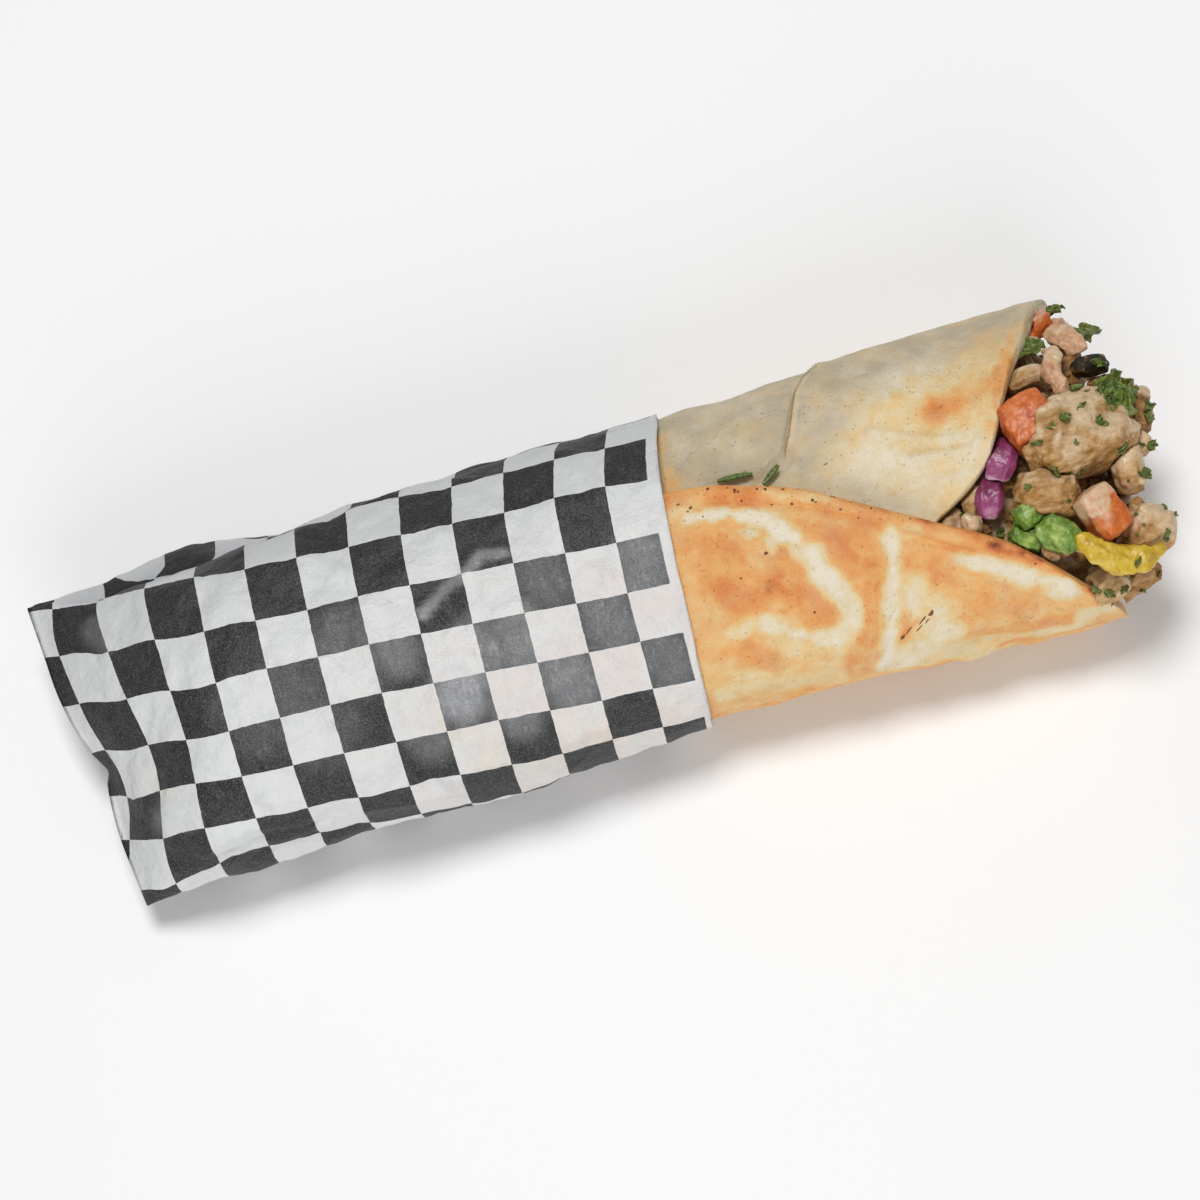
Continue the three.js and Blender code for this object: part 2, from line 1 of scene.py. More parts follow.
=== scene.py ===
"""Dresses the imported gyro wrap: a printed paper sleeve, toasted flatbread and its filling.

Forms are worked out in millimetres in the wrap's own frame: x runs along the roll from the closed end of
the sleeve, and "turn" goes round it in degrees, 0 on the far side, 90 on top and 180 on the near side.
"""
import json
import math

import bpy
import numpy as np
from bpy.props import FloatProperty, FloatVectorProperty, PointerProperty
from mathutils import Matrix, Vector, noise
from mathutils.bvhtree import BVHTree

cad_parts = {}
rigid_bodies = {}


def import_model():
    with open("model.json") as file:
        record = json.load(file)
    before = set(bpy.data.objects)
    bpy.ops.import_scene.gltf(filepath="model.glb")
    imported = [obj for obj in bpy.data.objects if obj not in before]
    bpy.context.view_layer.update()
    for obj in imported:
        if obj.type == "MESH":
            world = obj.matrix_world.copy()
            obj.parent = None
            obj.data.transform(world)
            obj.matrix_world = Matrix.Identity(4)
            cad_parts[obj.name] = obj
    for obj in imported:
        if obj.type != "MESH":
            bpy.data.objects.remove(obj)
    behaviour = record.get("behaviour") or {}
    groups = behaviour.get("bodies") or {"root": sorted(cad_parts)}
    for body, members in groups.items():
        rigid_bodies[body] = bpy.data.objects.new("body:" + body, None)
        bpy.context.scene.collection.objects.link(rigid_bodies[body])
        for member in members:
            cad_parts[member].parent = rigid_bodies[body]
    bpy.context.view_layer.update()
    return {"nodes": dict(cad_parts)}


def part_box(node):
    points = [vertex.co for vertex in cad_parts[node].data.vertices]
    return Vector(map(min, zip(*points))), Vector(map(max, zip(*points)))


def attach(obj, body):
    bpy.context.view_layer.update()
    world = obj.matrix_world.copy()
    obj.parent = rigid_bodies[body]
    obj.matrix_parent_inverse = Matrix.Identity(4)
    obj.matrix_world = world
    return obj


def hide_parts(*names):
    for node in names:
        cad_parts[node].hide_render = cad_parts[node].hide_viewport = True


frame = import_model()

bl_info = {
    "name": "Gyro Wrap",
    "version": (1, 0, 0),
    "blender": (4, 5, 0),
    "location": "View3D > Sidebar > Gyro Wrap",
    "description": "A gyro wrap of toasted flatbread, meat and salad in a checkered paper sleeve",
    "category": "Object",
}

MM = 0.001

# ---- The roll, as the solids have it (mm and degrees) ------------------------------------------
ROLL_HALF_HEIGHT = 23
ROLL_CENTRE_Z = 21.5
OVAL_POWER = 2.2
HALF_WIDTH = ((0, 40.3), (90, 40.3), (150, 39), (190, 39.8), (225, 41.8), (256, 42))
CENTRE_Y = ((0, 0.9), (90, 0.9), (150, 0.6), (190, 0), (225, -1.2), (256, -2.2))

SLEEVE_LENGTH = 150
SLEEVE_STATIONS = (30, 40, 52, 66, 82, 98)  # rings of the solid where its near side is widest
PAPER_WALL = 0.8
SLEEVE_GAP = 0.5
END_GAP = 1.4
CREASE_HEIGHT = 0.8
SEAL_HALF_WIDTH = 38.7
SEAL_CENTRE_Y = 0.9
SEAL_X = ((0, -4.3), (0.35, -3), (0.5, -0.3), (0.58, 2), (1, 2.6))
SEAL_FAR_Z = 25
SEAL_NEAR_Z = 11
GUSSET_FOLD = 5
GUSSET_X = 32
GUSSET_REACH = 32
GUSSET_TURN = -8
GUSSET_SPREAD = 26
MOUTH_NEAR_X = 145.2
MOUTH = (
    (0, 155.2), (34, 154.3), (51, 152.4), (66, 150.8), (76, 149.9), (88, 148.9), (97, 148.1), (110, 147.5),
    (121, 147), (138, 146.1), (160, 145.7), (180, 145.3),
)
TAPER_FAR = 58
TAPER_NEAR = 27

BREAD = 4.4
BREAD_START = 32
LAP_GAP = 0.5
FLAP_STEP = 2.2
RIM = (
    (0, 70), (150, 72), (170, 80), (187, 90), (210, 109), (223, 121), (231, 134), (238, 150), (246, 176),
    (254, 236),
)
FREE_EDGE = (
    (0, 128), (196, 121), (211, 107), (223, 95), (229, 86), (239, 61), (244, 49), (248, 35), (254, 14),
)
BREAD_END = 254
TROUGH_BACK = 6
MOUND_X = 240
MOUND_LENGTH = 28
MOUND_ROUND = 0.9
MOUND_DROP = 3


def paint(red, green, blue):
    """A colour given as on a paint chart, 0 to 255, as the linear colour that shaders take."""
    linear = []
    for level in (red / 255, green / 255, blue / 255):
        linear.append(level / 12.92 if level <= 0.04045 else ((level + 0.055) / 1.055) ** 2.4)
    return (*linear, 1.0)


def lerp(a, b, t):
    return a + (b - a) * t


def smooth(value, low, high):
    t = np.clip((value - low) / (high - low), 0.0, 1.0)
    return t * t * (3 - 2 * t)


def curve_at(stations, x):
    """Value at x of a smooth curve through (x, value) stations."""
    xs, values = np.array(stations, float).T
    last = len(xs) - 1
    k = np.arange(len(xs))
    before, after = np.maximum(k - 1, 0), np.minimum(k + 1, last)
    slopes = (values[after] - values[before]) / (xs[after] - xs[before])
    x = np.clip(x, xs[0], xs[-1])
    i = np.clip(np.searchsorted(xs, x, side="right") - 1, 0, last - 1)
    h = xs[i + 1] - xs[i]
    t = (x - xs[i]) / h
    s = 1 - t
    ends = values[i] * s * s * (1 + 2 * t) + values[i + 1] * t * t * (3 - 2 * t)
    return ends + h * t * s * (slopes[i] * s - slopes[i + 1] * t)


def oval_point(x, turn, inset):
    """Points of the roll's oval, `inset` mm inside its skin, as rows of x, y, z."""
    c, s = np.cos(np.radians(turn)), np.sin(np.radians(turn))
    power = 2 / OVAL_POWER
    y = (curve_at(HALF_WIDTH, x) - inset) * np.sign(c) * np.abs(c) ** power
    z = (ROLL_HALF_HEIGHT - inset) * np.sign(s) * np.abs(s) ** power
    return np.stack([x + 0 * y, curve_at(CENTRE_Y, x) + y, np.maximum(ROLL_CENTRE_Z + z, inset)], axis=-1)


def nearness(turn):
    """0 on the far side of the roll, 1 on the near side."""
    return (1 - np.cos(np.radians(turn))) / 2


def roll_point(x, turn, inset, seal_half=1.2):
    """The same on the whole roll, which narrows to the sleeve's flat seal at the closed end."""
    side = nearness(turn)
    opened = np.clip((x - curve_at(SEAL_X, side)) / lerp(TAPER_FAR, TAPER_NEAR, side), 0, 1)
    point = oval_point(x, turn, inset)
    flank = np.clip(3 * np.sin(np.radians(turn)), -1, 1)
    flat_z = lerp(SEAL_FAR_Z, SEAL_NEAR_Z, side) + flank * (seal_half - np.minimum(inset, seal_half))
    flat_y = SEAL_CENTRE_Y + (SEAL_HALF_WIDTH - inset) * np.cos(np.radians(turn))
    point[..., 1] = lerp(flat_y, point[..., 1], smooth(opened, 0, 1))
    point[..., 2] = lerp(flat_z, point[..., 2], np.sin(opened * math.pi / 2))
    return point


def up_turn(turn):
    """The same turn, between -180 and 180."""
    return np.where(turn > 180, turn - 360, turn)


def gusset(x, turn):
    """How far the folded gusset stands out from the far side."""
    along = np.maximum(1 - np.abs(x - GUSSET_X) / GUSSET_REACH, 0)
    across = np.maximum(1 - np.abs(up_turn(turn) - GUSSET_TURN) / GUSSET_SPREAD, 0)
    return GUSSET_FOLD * smooth(along * across, 0, 1)


# The frame's origin is the middle of the wrap's underside; the forms' origin is the sleeve's closed end.
NEAR_X = lerp(SEAL_X[-1][1], MOUTH_NEAR_X, np.array(SLEEVE_STATIONS) / SLEEVE_LENGTH)
NEAR_FLANK = float(np.min(roll_point(NEAR_X, np.full(len(NEAR_X), 180.0), 0 * NEAR_X)[:, 1]))
SLEEVE_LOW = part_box("paper_sleeve")[0]
SHIFT = np.array([SLEEVE_LOW.x / MM - SEAL_X[0][1], SLEEVE_LOW.y / MM - NEAR_FLANK, 0])


def bread_inset(x, turn):
    """How far the bread's outer face lies inside the oval."""
    in_sleeve = 1 - smooth(x, SLEEVE_LENGTH + 2, SLEEVE_LENGTH + 14)
    rim = curve_at(RIM, x)
    lap = smooth(turn, rim - 48, rim - 3)
    under = lerp(BREAD + LAP_GAP, FLAP_STEP, smooth(x, 205, 232))
    gap = lerp(END_GAP, SLEEVE_GAP, smooth(x, 60, 80))
    return in_sleeve * (PAPER_WALL + gap) + lap * under


def mound_place(x, turn, rise=0, spin=0, lean=0, roll=0):
    """The place of a piece on the filling: its own z points out of the roll there (mm)."""
    ahead, behind = (oval_point(np.array(x, float), turn + way, 0) for way in (2, -2))
    out = Vector((0, ahead[2] - behind[2], behind[1] - ahead[1])).normalized()
    around = out.cross(Vector((1, 0, 0)))
    past = min(max((x - MOUND_X) / MOUND_LENGTH, 0), 1)
    scale = math.sqrt(1 - MOUND_ROUND * past * past)
    middle = Vector((x, float(curve_at(CENTRE_Y, x)), ROLL_CENTRE_Z - MOUND_DROP))
    place = middle.lerp(Vector(oval_point(np.array(x, float), turn, BREAD / 2)), scale) + out * rise
    turned = Matrix((Vector((1, 0, 0)), around, out)).transposed()
    turned = turned @ Matrix.Rotation(math.radians(spin), 3, "Z")
    turned = turned @ Matrix.Rotation(math.radians(lean), 3, "Y")
    turned = turned @ Matrix.Rotation(math.radians(roll), 3, "X")
    return Matrix.Translation(place) @ turned.to_4x4()


# Arc length round the roll, so that a mark's size is right wherever it lies.
ARC_TURNS = np.arange(-180, 363, 3)
ARC_POINTS = oval_point(np.full(len(ARC_TURNS), 200.0), ARC_TURNS, 0)
ARC_STEPS = np.linalg.norm(np.diff(ARC_POINTS, axis=0), axis=1)
ARCS = np.concatenate([[0], np.cumsum(ARC_STEPS)])


def around_mm(turn):
    """Distance round the roll at a turn, in mm."""
    return np.interp(turn, ARC_TURNS, ARCS)


def path_distance(x, turn, path):
    """Distance in mm over the roll's surface from each place to a path of (x, turn) places."""
    arc = around_mm(turn)
    nearest = np.full(np.shape(x), np.inf)
    places = [(px, float(around_mm(pt))) for px, pt in path]
    for (x0, a0), (x1, a1) in zip(places, places[1:] or places):
        dx, da = x1 - x0, a1 - a0
        squared = dx * dx + da * da or 1
        t = np.clip(((x - x0) * dx + (arc - a0) * da) / squared, 0, 1)
        nearest = np.minimum(nearest, np.hypot(x - x0 - t * dx, arc - a0 - t * da))
    return nearest


def marks(table, x, turn, wobble=0.0):
    """For each row x, turn, x, turn... a, b: the distance of every place from its path, and a and b."""
    for row in table:
        yield path_distance(x, turn, list(zip(row[:-2:2], row[1:-2:2]))) + wobble, *row[-2:]


def mark(distance, half_width):
    """1 inside a painted mark, fading out over its soft edge."""
    return 1 - smooth(distance, 0.3 * half_width, 1.7 * half_width)


def ridge(distance, half_width):
    """1 on a ridge's line, falling off like a hill."""
    return np.exp(-((distance / half_width) ** 2))


def grain(points, size, seed=0, octaves=3):
    """Soft noise about 0 with features of `size` mm, always the same for the same points."""
    shift = Vector((17.3, 7.1, 3.7)) * seed
    return np.array([noise.fractal(Vector(p) / size + shift, 1.0, 2.0, octaves) for p in points])


# ---- Meshes -------------------------------------------------------------------------------------
def select_only(*pieces):
    bpy.ops.object.select_all(action="DESELECT")
    for piece in pieces:
        piece.select_set(True)
    bpy.context.view_layer.objects.active = pieces[0]


def read(piece, what="co"):
    """The vertices' places or normals as rows, places in mm of the frame."""
    values = np.zeros(len(piece.data.vertices) * 3, np.float32)
    piece.data.vertices.foreach_get(what, values)
    rows = values.reshape(-1, 3).astype(float)
    return rows / MM if what == "co" else rows


def write(piece, places):
    piece.data.vertices.foreach_set("co", (places * MM).astype(np.float32).ravel())
    piece.data.update()


def store(piece, name, values):
    """Keeps one number per vertex for the piece's material."""
    layer = piece.data.attributes.get(name) or piece.data.attributes.new(name, "FLOAT", "POINT")
    layer.data.foreach_set("value", np.asarray(values, np.float32))


def unit_grid(name, columns, rows):
    """A flat grid, and the place of each vertex on it from 0 to 1 both ways."""
    bpy.ops.object.select_all(action="DESELECT")
    bpy.ops.mesh.primitive_grid_add(x_subdivisions=columns, y_subdivisions=rows, size=1)
    grid = bpy.context.object
    grid.name = grid.data.name = name
    p, q = (read(grid)[:, :2] * MM + 0.5).T
    return grid, p, q


def map_uv(piece, u, v):
    """Sets the piece's UV map from one (u, v) per vertex."""
    corners = np.zeros(len(piece.data.loops), np.int32)
    piece.data.loops.foreach_get("vertex_index", corners)
    uv = np.stack([u, v], axis=1)[corners].astype(np.float32)
    piece.data.uv_layers[0].data.foreach_set("uv", uv.ravel())


def edit(piece, *steps):
    """Runs mesh operators on the whole piece in edit mode."""
    select_only(piece)
    bpy.ops.object.mode_set(mode="EDIT")
    bpy.ops.mesh.select_all(action="SELECT")
    for step in steps:
        step()
    bpy.ops.object.mode_set(mode="OBJECT")


def weld(distance=1e-6):
    return lambda: bpy.ops.mesh.remove_doubles(threshold=distance)


def face_out():
    bpy.ops.mesh.normals_make_consistent(inside=False)


def modify(piece, kind, **settings):
    """Adds one modifier, sets it up and applies it."""
    select_only(piece)
    modifier = piece.modifiers.new(kind.lower(), kind)
    for key, value in settings.items():
        setattr(modifier, key, value)
    bpy.ops.object.modifier_apply(modifier=modifier.name)


def two_faced(name, columns, rows, form, stored):
    """A closed sheet: form(p, q, side) gives the places of its outer face, side 1, and of its inner one,
    side -1, and a list of the numbers that are stored there."""
    faces = []
    for side in (1, -1):
        face, p, q = unit_grid(name, columns, rows)
        places, values = form(p, q, side)
        write(face, places)
        for key, value in zip(stored, values):
            store(face, key, value)
        faces.append(face)
    edit(faces[1], bpy.ops.mesh.flip_normals)
    sheet = joined(name, faces)
    edit(sheet, weld(2e-5), face_out)
    return sheet


def joined(name, pieces):
    """Many small pieces as one mesh."""
    select_only(*pieces)
    if len(pieces) > 1:
        bpy.ops.object.join()
    pieces[0].name = pieces[0].data.name = name
    return pieces[0]


def place_on(piece, matrix):
    """Moves a piece made at the origin, in mm, to its place on the wrap."""
    rows = read(piece)
    turned = rows @ np.array(matrix.to_3x3()).T + np.array(matrix.translation)
    write(piece, turned + SHIFT)


def standing(place, normal, spin, sink=0.0):
    """A place (mm in the frame) whose z follows a face's normal and whose x runs nearly along the roll."""
    out = Vector(normal).normalized()
    around = out.cross(Vector((1, 0, 0))).normalized()
    turned = Matrix((around.cross(out), around, out)).transposed().to_4x4() @ Matrix.Rotation(spin, 4, "Z")
    return Matrix.Translation(Vector(place) - Vector(SHIFT) - out * sink) @ turned


def fleck_blob(name, sizes, seed, faces=2, rough=0.35):
    """An irregular rounded lump about the origin, by its half sizes in mm."""
    bpy.ops.object.select_all(action="DESELECT")
    bpy.ops.mesh.primitive_ico_sphere_add(subdivisions=faces, radius=MM)
    lump = bpy.context.object
    lump.name = lump.data.name = name
    rows = read(lump)
    write(lump, rows * sizes * (1 + rough * grain(rows, 0.8, seed + 3, 2))[:, None])
    return lump


def refine(node, voxel, smoothing=4):
    """A solid's own form in fine, softly rounded mesh, made from a copy of the solid's mesh."""
    mesh = frame["nodes"][node].data.copy()
    mesh.name = f"{node}_food"
    mesh.materials.clear()
    piece = bpy.data.objects.new(mesh.name, mesh)
    bpy.context.scene.collection.objects.link(piece)
    edit(piece, weld())
    modify(piece, "REMESH", mode="VOXEL", voxel_size=voxel * MM)
    modify(piece, "SMOOTH", factor=0.5, iterations=smoothing)
    return piece


def swell(piece, amounts):
    """Moves each vertex out along its normal by its amount in mm."""
    write(piece, read(piece) + read(piece, "normal") * np.asarray(amounts)[:, None])


def finish_piece(piece, finish, node, *replaced):
    """Material, smooth faces, and the piece's place in the frame, with nothing under the floor."""
    rows = read(piece)
    rows[:, 2] = np.maximum(rows[:, 2], 0)
    write(piece, rows)
    piece.data.materials.clear()
    piece.data.materials.append(finish)
    select_only(piece)
    bpy.ops.object.shade_smooth()
    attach(piece, "root")
    if replaced:
        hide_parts(*replaced)
    return piece


# ---- Shader maths -------------------------------------------------------------------------------
class Level:
    """A number at every point of a surface. Arithmetic on it adds Math nodes."""

    def __init__(self, finish, socket):
        self.finish = finish
        self.socket = socket

    def _math(self, operation, *values):
        node = self.finish.node("ShaderNodeMath", {"operation": operation}, dict(enumerate(values)))
        return Level(self.finish, node.outputs[0])

    def __add__(self, other):
        return self._math("ADD", self, other)

    __radd__ = __add__

    def __sub__(self, other):
        return self._math("SUBTRACT", self, other)

    def __rsub__(self, other):
        return self._math("SUBTRACT", other, self)

    def __mul__(self, other):
        return self._math("MULTIPLY", self, other)

    __rmul__ = __mul__

    def above(self, low, high):
        """0 up to `low`, 1 from `high`, smooth between them."""
        inputs = {"Value": self, "From Min": low, "From Max": high}
        node = self.finish.node("ShaderNodeMapRange", {"interpolation_type": "SMOOTHSTEP"}, inputs)
        return Level(self.finish, node.outputs[0])


class Finish:
    """One material: its node tree, and the shader whose sockets it feeds."""

    def __init__(self, name, **constants):
        self.material = bpy.data.materials.new(name)
        self.material.use_nodes = True
        self.tree = self.material.node_tree
        self.shader = self.tree.nodes["Principled BSDF"]
        for socket, value in constants.items():
            self.shader.inputs[socket.replace("_", " ")].default_value = value

    def node(self, kind, settings=None, inputs=None):
        """A node of a type, with its settings made first and then the values or links of its sockets."""
        made = self.tree.nodes.new(kind)
        for key, value in (settings or {}).items():
            setattr(made, key, value)
        for key, value in (inputs or {}).items():
            self.feed(made.inputs[key], value)
        return made

    def feed(self, socket, value):
        if isinstance(value, Level):
            self.tree.links.new(value.socket, socket)
        elif isinstance(value, bpy.types.NodeSocket):
            self.tree.links.new(value, socket)
        else:
            socket.default_value = value

    def stored(self, name):
        """A number kept on the mesh."""
        return Level(self, self.node("ShaderNodeAttribute", {"attribute_name": name}).outputs["Fac"])

    def place(self, stretch=(1, 1, 1)):
        """Object coordinates in mm, stretched by a factor along each axis."""
        where = self.node("ShaderNodeTexCoord").outputs["Object"]
        scale = [1 / (MM * factor) for factor in stretch]
        mapping = self.node("ShaderNodeMapping", None, {"Vector": where, "Scale": scale})
        return mapping.outputs[0]

    def clouds(self, size, detail=3, roughness=0.55, stretch=(1, 1, 1)):
        """Noise from 0 to 1 with features of `size` mm."""
        inputs = {"Vector": self.place(stretch), "Scale": 1 / size, "Detail": detail, "Roughness": roughness}
        return Level(self, self.node("ShaderNodeTexNoise", None, inputs).outputs[0])

    def cells(self, size, feature="F1"):
        """Distance from the middles, or the edges, of cells about `size` mm wide."""
        inputs = {"Vector": self.place(), "Scale": 1 / size}
        return Level(self, self.node("ShaderNodeTexVoronoi", {"feature": feature}, inputs).outputs[0])

    def mix(self, factor, first, second):
        """The second colour over the first."""
        return self.node("ShaderNodeMix", {"data_type": "RGBA"}, {0: factor, 6: first, 7: second}).outputs[2]

    def tinted(self, colour, *tints):
        """A colour under (share, red, green, blue) tints of a paint chart."""
        for share, *tint in tints:
            colour = self.mix(share, colour, paint(*tint))
        return colour

    def ramp(self, level, stops):
        """A colour that follows a number through (number, colour) stops."""
        node = self.node("ShaderNodeValToRGB", None, {"Fac": level})
        elements = node.color_ramp.elements
        while len(elements) < len(stops):
            elements.new(0.5)
        for element, (position, colour) in zip(elements, stops):
            element.position = position
            element.color = colour
        return node.outputs[0]

    def done(self, colour, roughness=None, height=None, depth=0.2, coat=None):
        """Feeds the shader: colour, roughness, a relief of `depth` mm and a wet coat."""
        for socket, value in (("Base Color", colour), ("Roughness", roughness), ("Coat Weight", coat)):
            if value is not None:
                self.feed(self.shader.inputs[socket], value)
        if height is not None:
            bump = self.node("ShaderNodeBump", None, {"Height": height, "Distance": depth * MM})
            self.feed(self.shader.inputs["Normal"], bump.outputs[0])
        return self.material


def colour_property(name, description, red, green, blue):
    return FloatVectorProperty(
        name=name, description=description, subtype="COLOR", size=4, min=0, max=1,
        default=paint(red, green, blue),
    )


def number_property(name, description, default, unit):
    return FloatProperty(name=name, description=description, default=default, min=0, unit=unit)


def length_property(name, description, millimetres):
    return number_property(name, description, millimetres * MM, "LENGTH")


# ---- The paper sleeve ---------------------------------------------------------------------------
class SleeveSettings(bpy.types.PropertyGroup):
    """Sizes and colours of the printed sleeve."""

    thickness: length_property("Paper thickness", "Thickness of the sleeve's paper", 0.3)
    check: length_property("Check", "Side of one printed check", 12.2)
    crumple: length_property("Crumple", "Depth of the paper's soft dents", 0.75)
    white: colour_property("Paper", "Colour of the bare paper", 222, 224, 223)
    # Painted warm light: the paper's near side, towards the mouth, takes this colour
    warm_lit_paper: colour_property("Warm paper", "Colour of the paper where the bread's fat warms it", 226, 215, 210)
    ink: colour_property("Ink", "Colour of the printed checks", 28, 28, 29)


NOTCHED_SEAL_X = (
    (0, -6.3), (0.15, -5.4), (0.31, -4.4), (0.47, -1.4), (0.54, 1.4), (0.57, 2.6), (0.61, 1.4), (0.76, 1),
    (0.92, 2.2), (1, 3),
)
PANEL_EDGE = (
    (-4.3, 14), (1, 24), (12, 33), (25, 41), (37, 49), (49, 54.5), (75, 58.5), (100, 62), (125, 65.5),
    (155, 69),
)
ROWS = (  # distance over the paper from the front panel's edge, and the printed row there
    (-88, -7), (-38, -3), (-13, -1), (0, 0), (14.4, 1), (27, 2), (39, 3), (50.5, 4), (61.7, 5), (74.5, 6),
    (87, 7), (137, 11), (187, 15),
)
LEAN = (  # how far the printed columns run ahead of square towards the mouth, by turn
    (-60, -1), (-10, -0.9), (21, -0.61), (47, -0.4), (66, -0.2), (87, -0.08), (102, 0), (142, 0.08),
    (180, 0.12),
)
PRINT_START_X = 1.0  # where the first whole column of checks begins
PRINT_COLUMNS = 11.82
PRINT_ORIGIN = 12  # keeps every column and row of the print above zero
BACK_SLIP = 0.31  # checks by which the panel behind the gusset lags
SAG = 0.33  # checks by which rows sag in the taper
SAG_REACH = 13
FRONT_SAG_X = 31
BACK_SAG_X = 47
FRONT_ROWS = 6.4  # rows on the front panel's upper part
SEAL_SAG = 0.22
SLEEVE_GRID = (170, 240)  # faces along the sleeve and round it
LIP_LENGTH = 1.6  # of the mouth's edge, which lifts
LIP_RISE = 0.35
VALLEY_DEPTH = 5.5
VALLEY_END_X = 84
FOLDS = (  # folds of the paper, with their height and half width in mm
    (88, 90, 93, 91, 97, 86, 100, 83, 104, 79, 109, 80, 1, 0.8), (89, 97, 95, 95, 99, 92, -0.8, 1),
    (93, 86, 97, 83, 100, 79, -0.6, 1.2), (84, 119, 88, 116, 92, 119, 93, 127, 0.9, 1),
    (97, 121, 101, 131, 105, 140, 0.7, 1.6), (82, 143, 88, 136, 94, 138, -0.7, 1.4),
    (62, 118, 70, 124, 76, 138, 0.7, 1.6), (74, 131, 78, 146, 80, 161, -0.8, 1.5),
    (40, 138, 52, 142, 66, 139, 0.7, 1.8), (108, 116, 117, 112, 127, 114, 0.5, 1.4),
    (118, 88, 127, 94, 131, 104, -0.4, 1.5), (20, 118, 32, 128, 40, 142, -0.8, 1.8),
    (4, 117, 12, 121, 20, 128, 1.1, 1.2), (4, 119, 10, 109, 22, 103, 0.9, 1.8),
    (5, 123, 11, 134, 14, 150, -0.9, 1.8), (9, 44, 12, 62, 10, 78, 0.6, 1.5), (36, 60, 35, 72, 0.4, 1.2),
    (22, 155, 35, 150, 48, 158, 0.9, 1.8), (50, 165, 64, 158, 78, 166, 0.8, 1.6),
    (90, 152, 104, 160, 118, 153, 130, 158, 0.8, 1.6), (64, 70, 78, 76, 84, 88, -0.4, 1.8),
    (128, 126, 138, 134, 143, 146, 0.4, 1.6), (100, 30, 112, 42, 122, 40, 0.6, 1.4),
    (60, 34, 74, 38, 88, 32, 0.6, 1.6), (74, 24, 88, 20, 99, 24, -1.6, 6),
    (28, 162, 40, 158, 54, 163, -2.4, 5), (34, 176, 46, 174, 58, 178, -2.2, 6),
    (2, 70, 16, 84, 30, 88, 0.5, 2), (56, 80, 66, 92, 70, 108, -0.45, 1.8),
    (110, 60, 124, 70, 136, 68, 0.45, 1.8), (30, 96, 44, 90, 58, 96, 0.45, 2.2),
)
RUBBED_SHEEN = (  # painted sheen on the ink, where it is rubbed and glossier, with half width and strength
    (92, 116, 91, 121, 6, 0.95), (98, 104, 101, 109, 6, 0.5), (108, 103, 109, 111, 7, 0.55),
    (116, 122, 117, 130, 6.5, 0.6), (129, 107, 130, 115, 6.5, 0.45), (141, 92, 140, 99, 6.5, 0.5),
    (139, 128, 140, 135, 6, 0.4), (117, 88, 118, 94, 6, 0.3), (69, 90, 70, 98, 8, 0.3),
    (79, 96, 80, 101, 5, 0.45), (53, 98, 58, 118, 8, 0.2), (101, 130, 103, 137, 4.5, 0.5),
    (80, 128, 82, 134, 5, 0.35), (88, 91, 96, 85, 101, 82, 105, 78, 110, 80, 1.4, 0.8),
    (9, 48, 12, 58, 3, 0.3), (15, 128, 22, 134, 3, 0.3), (40, 102, 44, 112, 6, 0.15),
)
OILED = (  # where fat has soaked the paper
    (88, 130, 93, 128, 5, 0.8), (96, 150, 110, 158, 6, 0.6), (14, 112, 20, 118, 3, 0.5),
    (118, 160, 135, 160, 6, 0.5),
)


def sleeve_form(s, turn, crumple):
    """The sleeve's surface with its gusset, folds and dents, and how much painted shade its paper gets."""
    side = nearness(turn)
    low = up_turn(turn)
    x = lerp(curve_at(NOTCHED_SEAL_X, side), curve_at(MOUTH, np.abs(low)), s / SLEEVE_LENGTH)
    point = roll_point(x, turn, 0 * x, 1.2 * smooth(s, 0, 9))
    point[:, 1] += gusset(x, turn)

    panel_edge = curve_at(PANEL_EDGE, x)
    valley = np.clip((low - GUSSET_TURN) / (panel_edge - GUSSET_TURN), 0, 1)
    fade = smooth(s, 2, 14) * (1 - smooth(x, VALLEY_END_X * 0.4, VALLEY_END_X))
    inward = VALLEY_DEPTH * (1 - np.abs(2 * valley**0.8 - 1) ** 1.4) * fade

    wave = np.sin(np.radians(turn) * 5 + x / 9) * np.sin(x / 17)
    on_top = np.maximum(np.sin(np.radians(turn)), 0)
    point[:, 2] += CREASE_HEIGHT * np.maximum(wave, 0) * on_top * smooth(s, 0, 32)

    flat = np.stack([x, around_mm(turn), 0 * x], axis=1)
    facets = np.abs(grain(flat, 24, 5, 2)) + 0.55 * np.abs(grain(flat, 10, 7, 2))
    dents = crumple * (1.2 * grain(flat, 34, 3, 2) + 2.3 * facets - 0.7)
    for away, height, half in marks(FOLDS, x, turn):
        dents += height * np.exp(-away / half)
    at_ends = smooth(s, 1, 9) * lerp(1.0, 0.35, smooth(s, 128, 150))
    middle_y = curve_at(CENTRE_Y, x)
    out = np.stack([0 * x, (point[:, 1] - middle_y) * 0.33, point[:, 2] - ROLL_CENTRE_Z], axis=1)
    out /= np.maximum(np.linalg.norm(out, axis=1), 1)[:, None]
    settled = smooth(point[:, 2], 0.5, 8)
    # Painted shade: greyer towards the far side and down in the gusset's valley
    dull = 0.55 * smooth(1 - side, 0.5, 0.98) + 0.75 * inward / VALLEY_DEPTH
    point += out * ((dents * at_ends - inward) * settled)[:, None]
    return x, point, dull


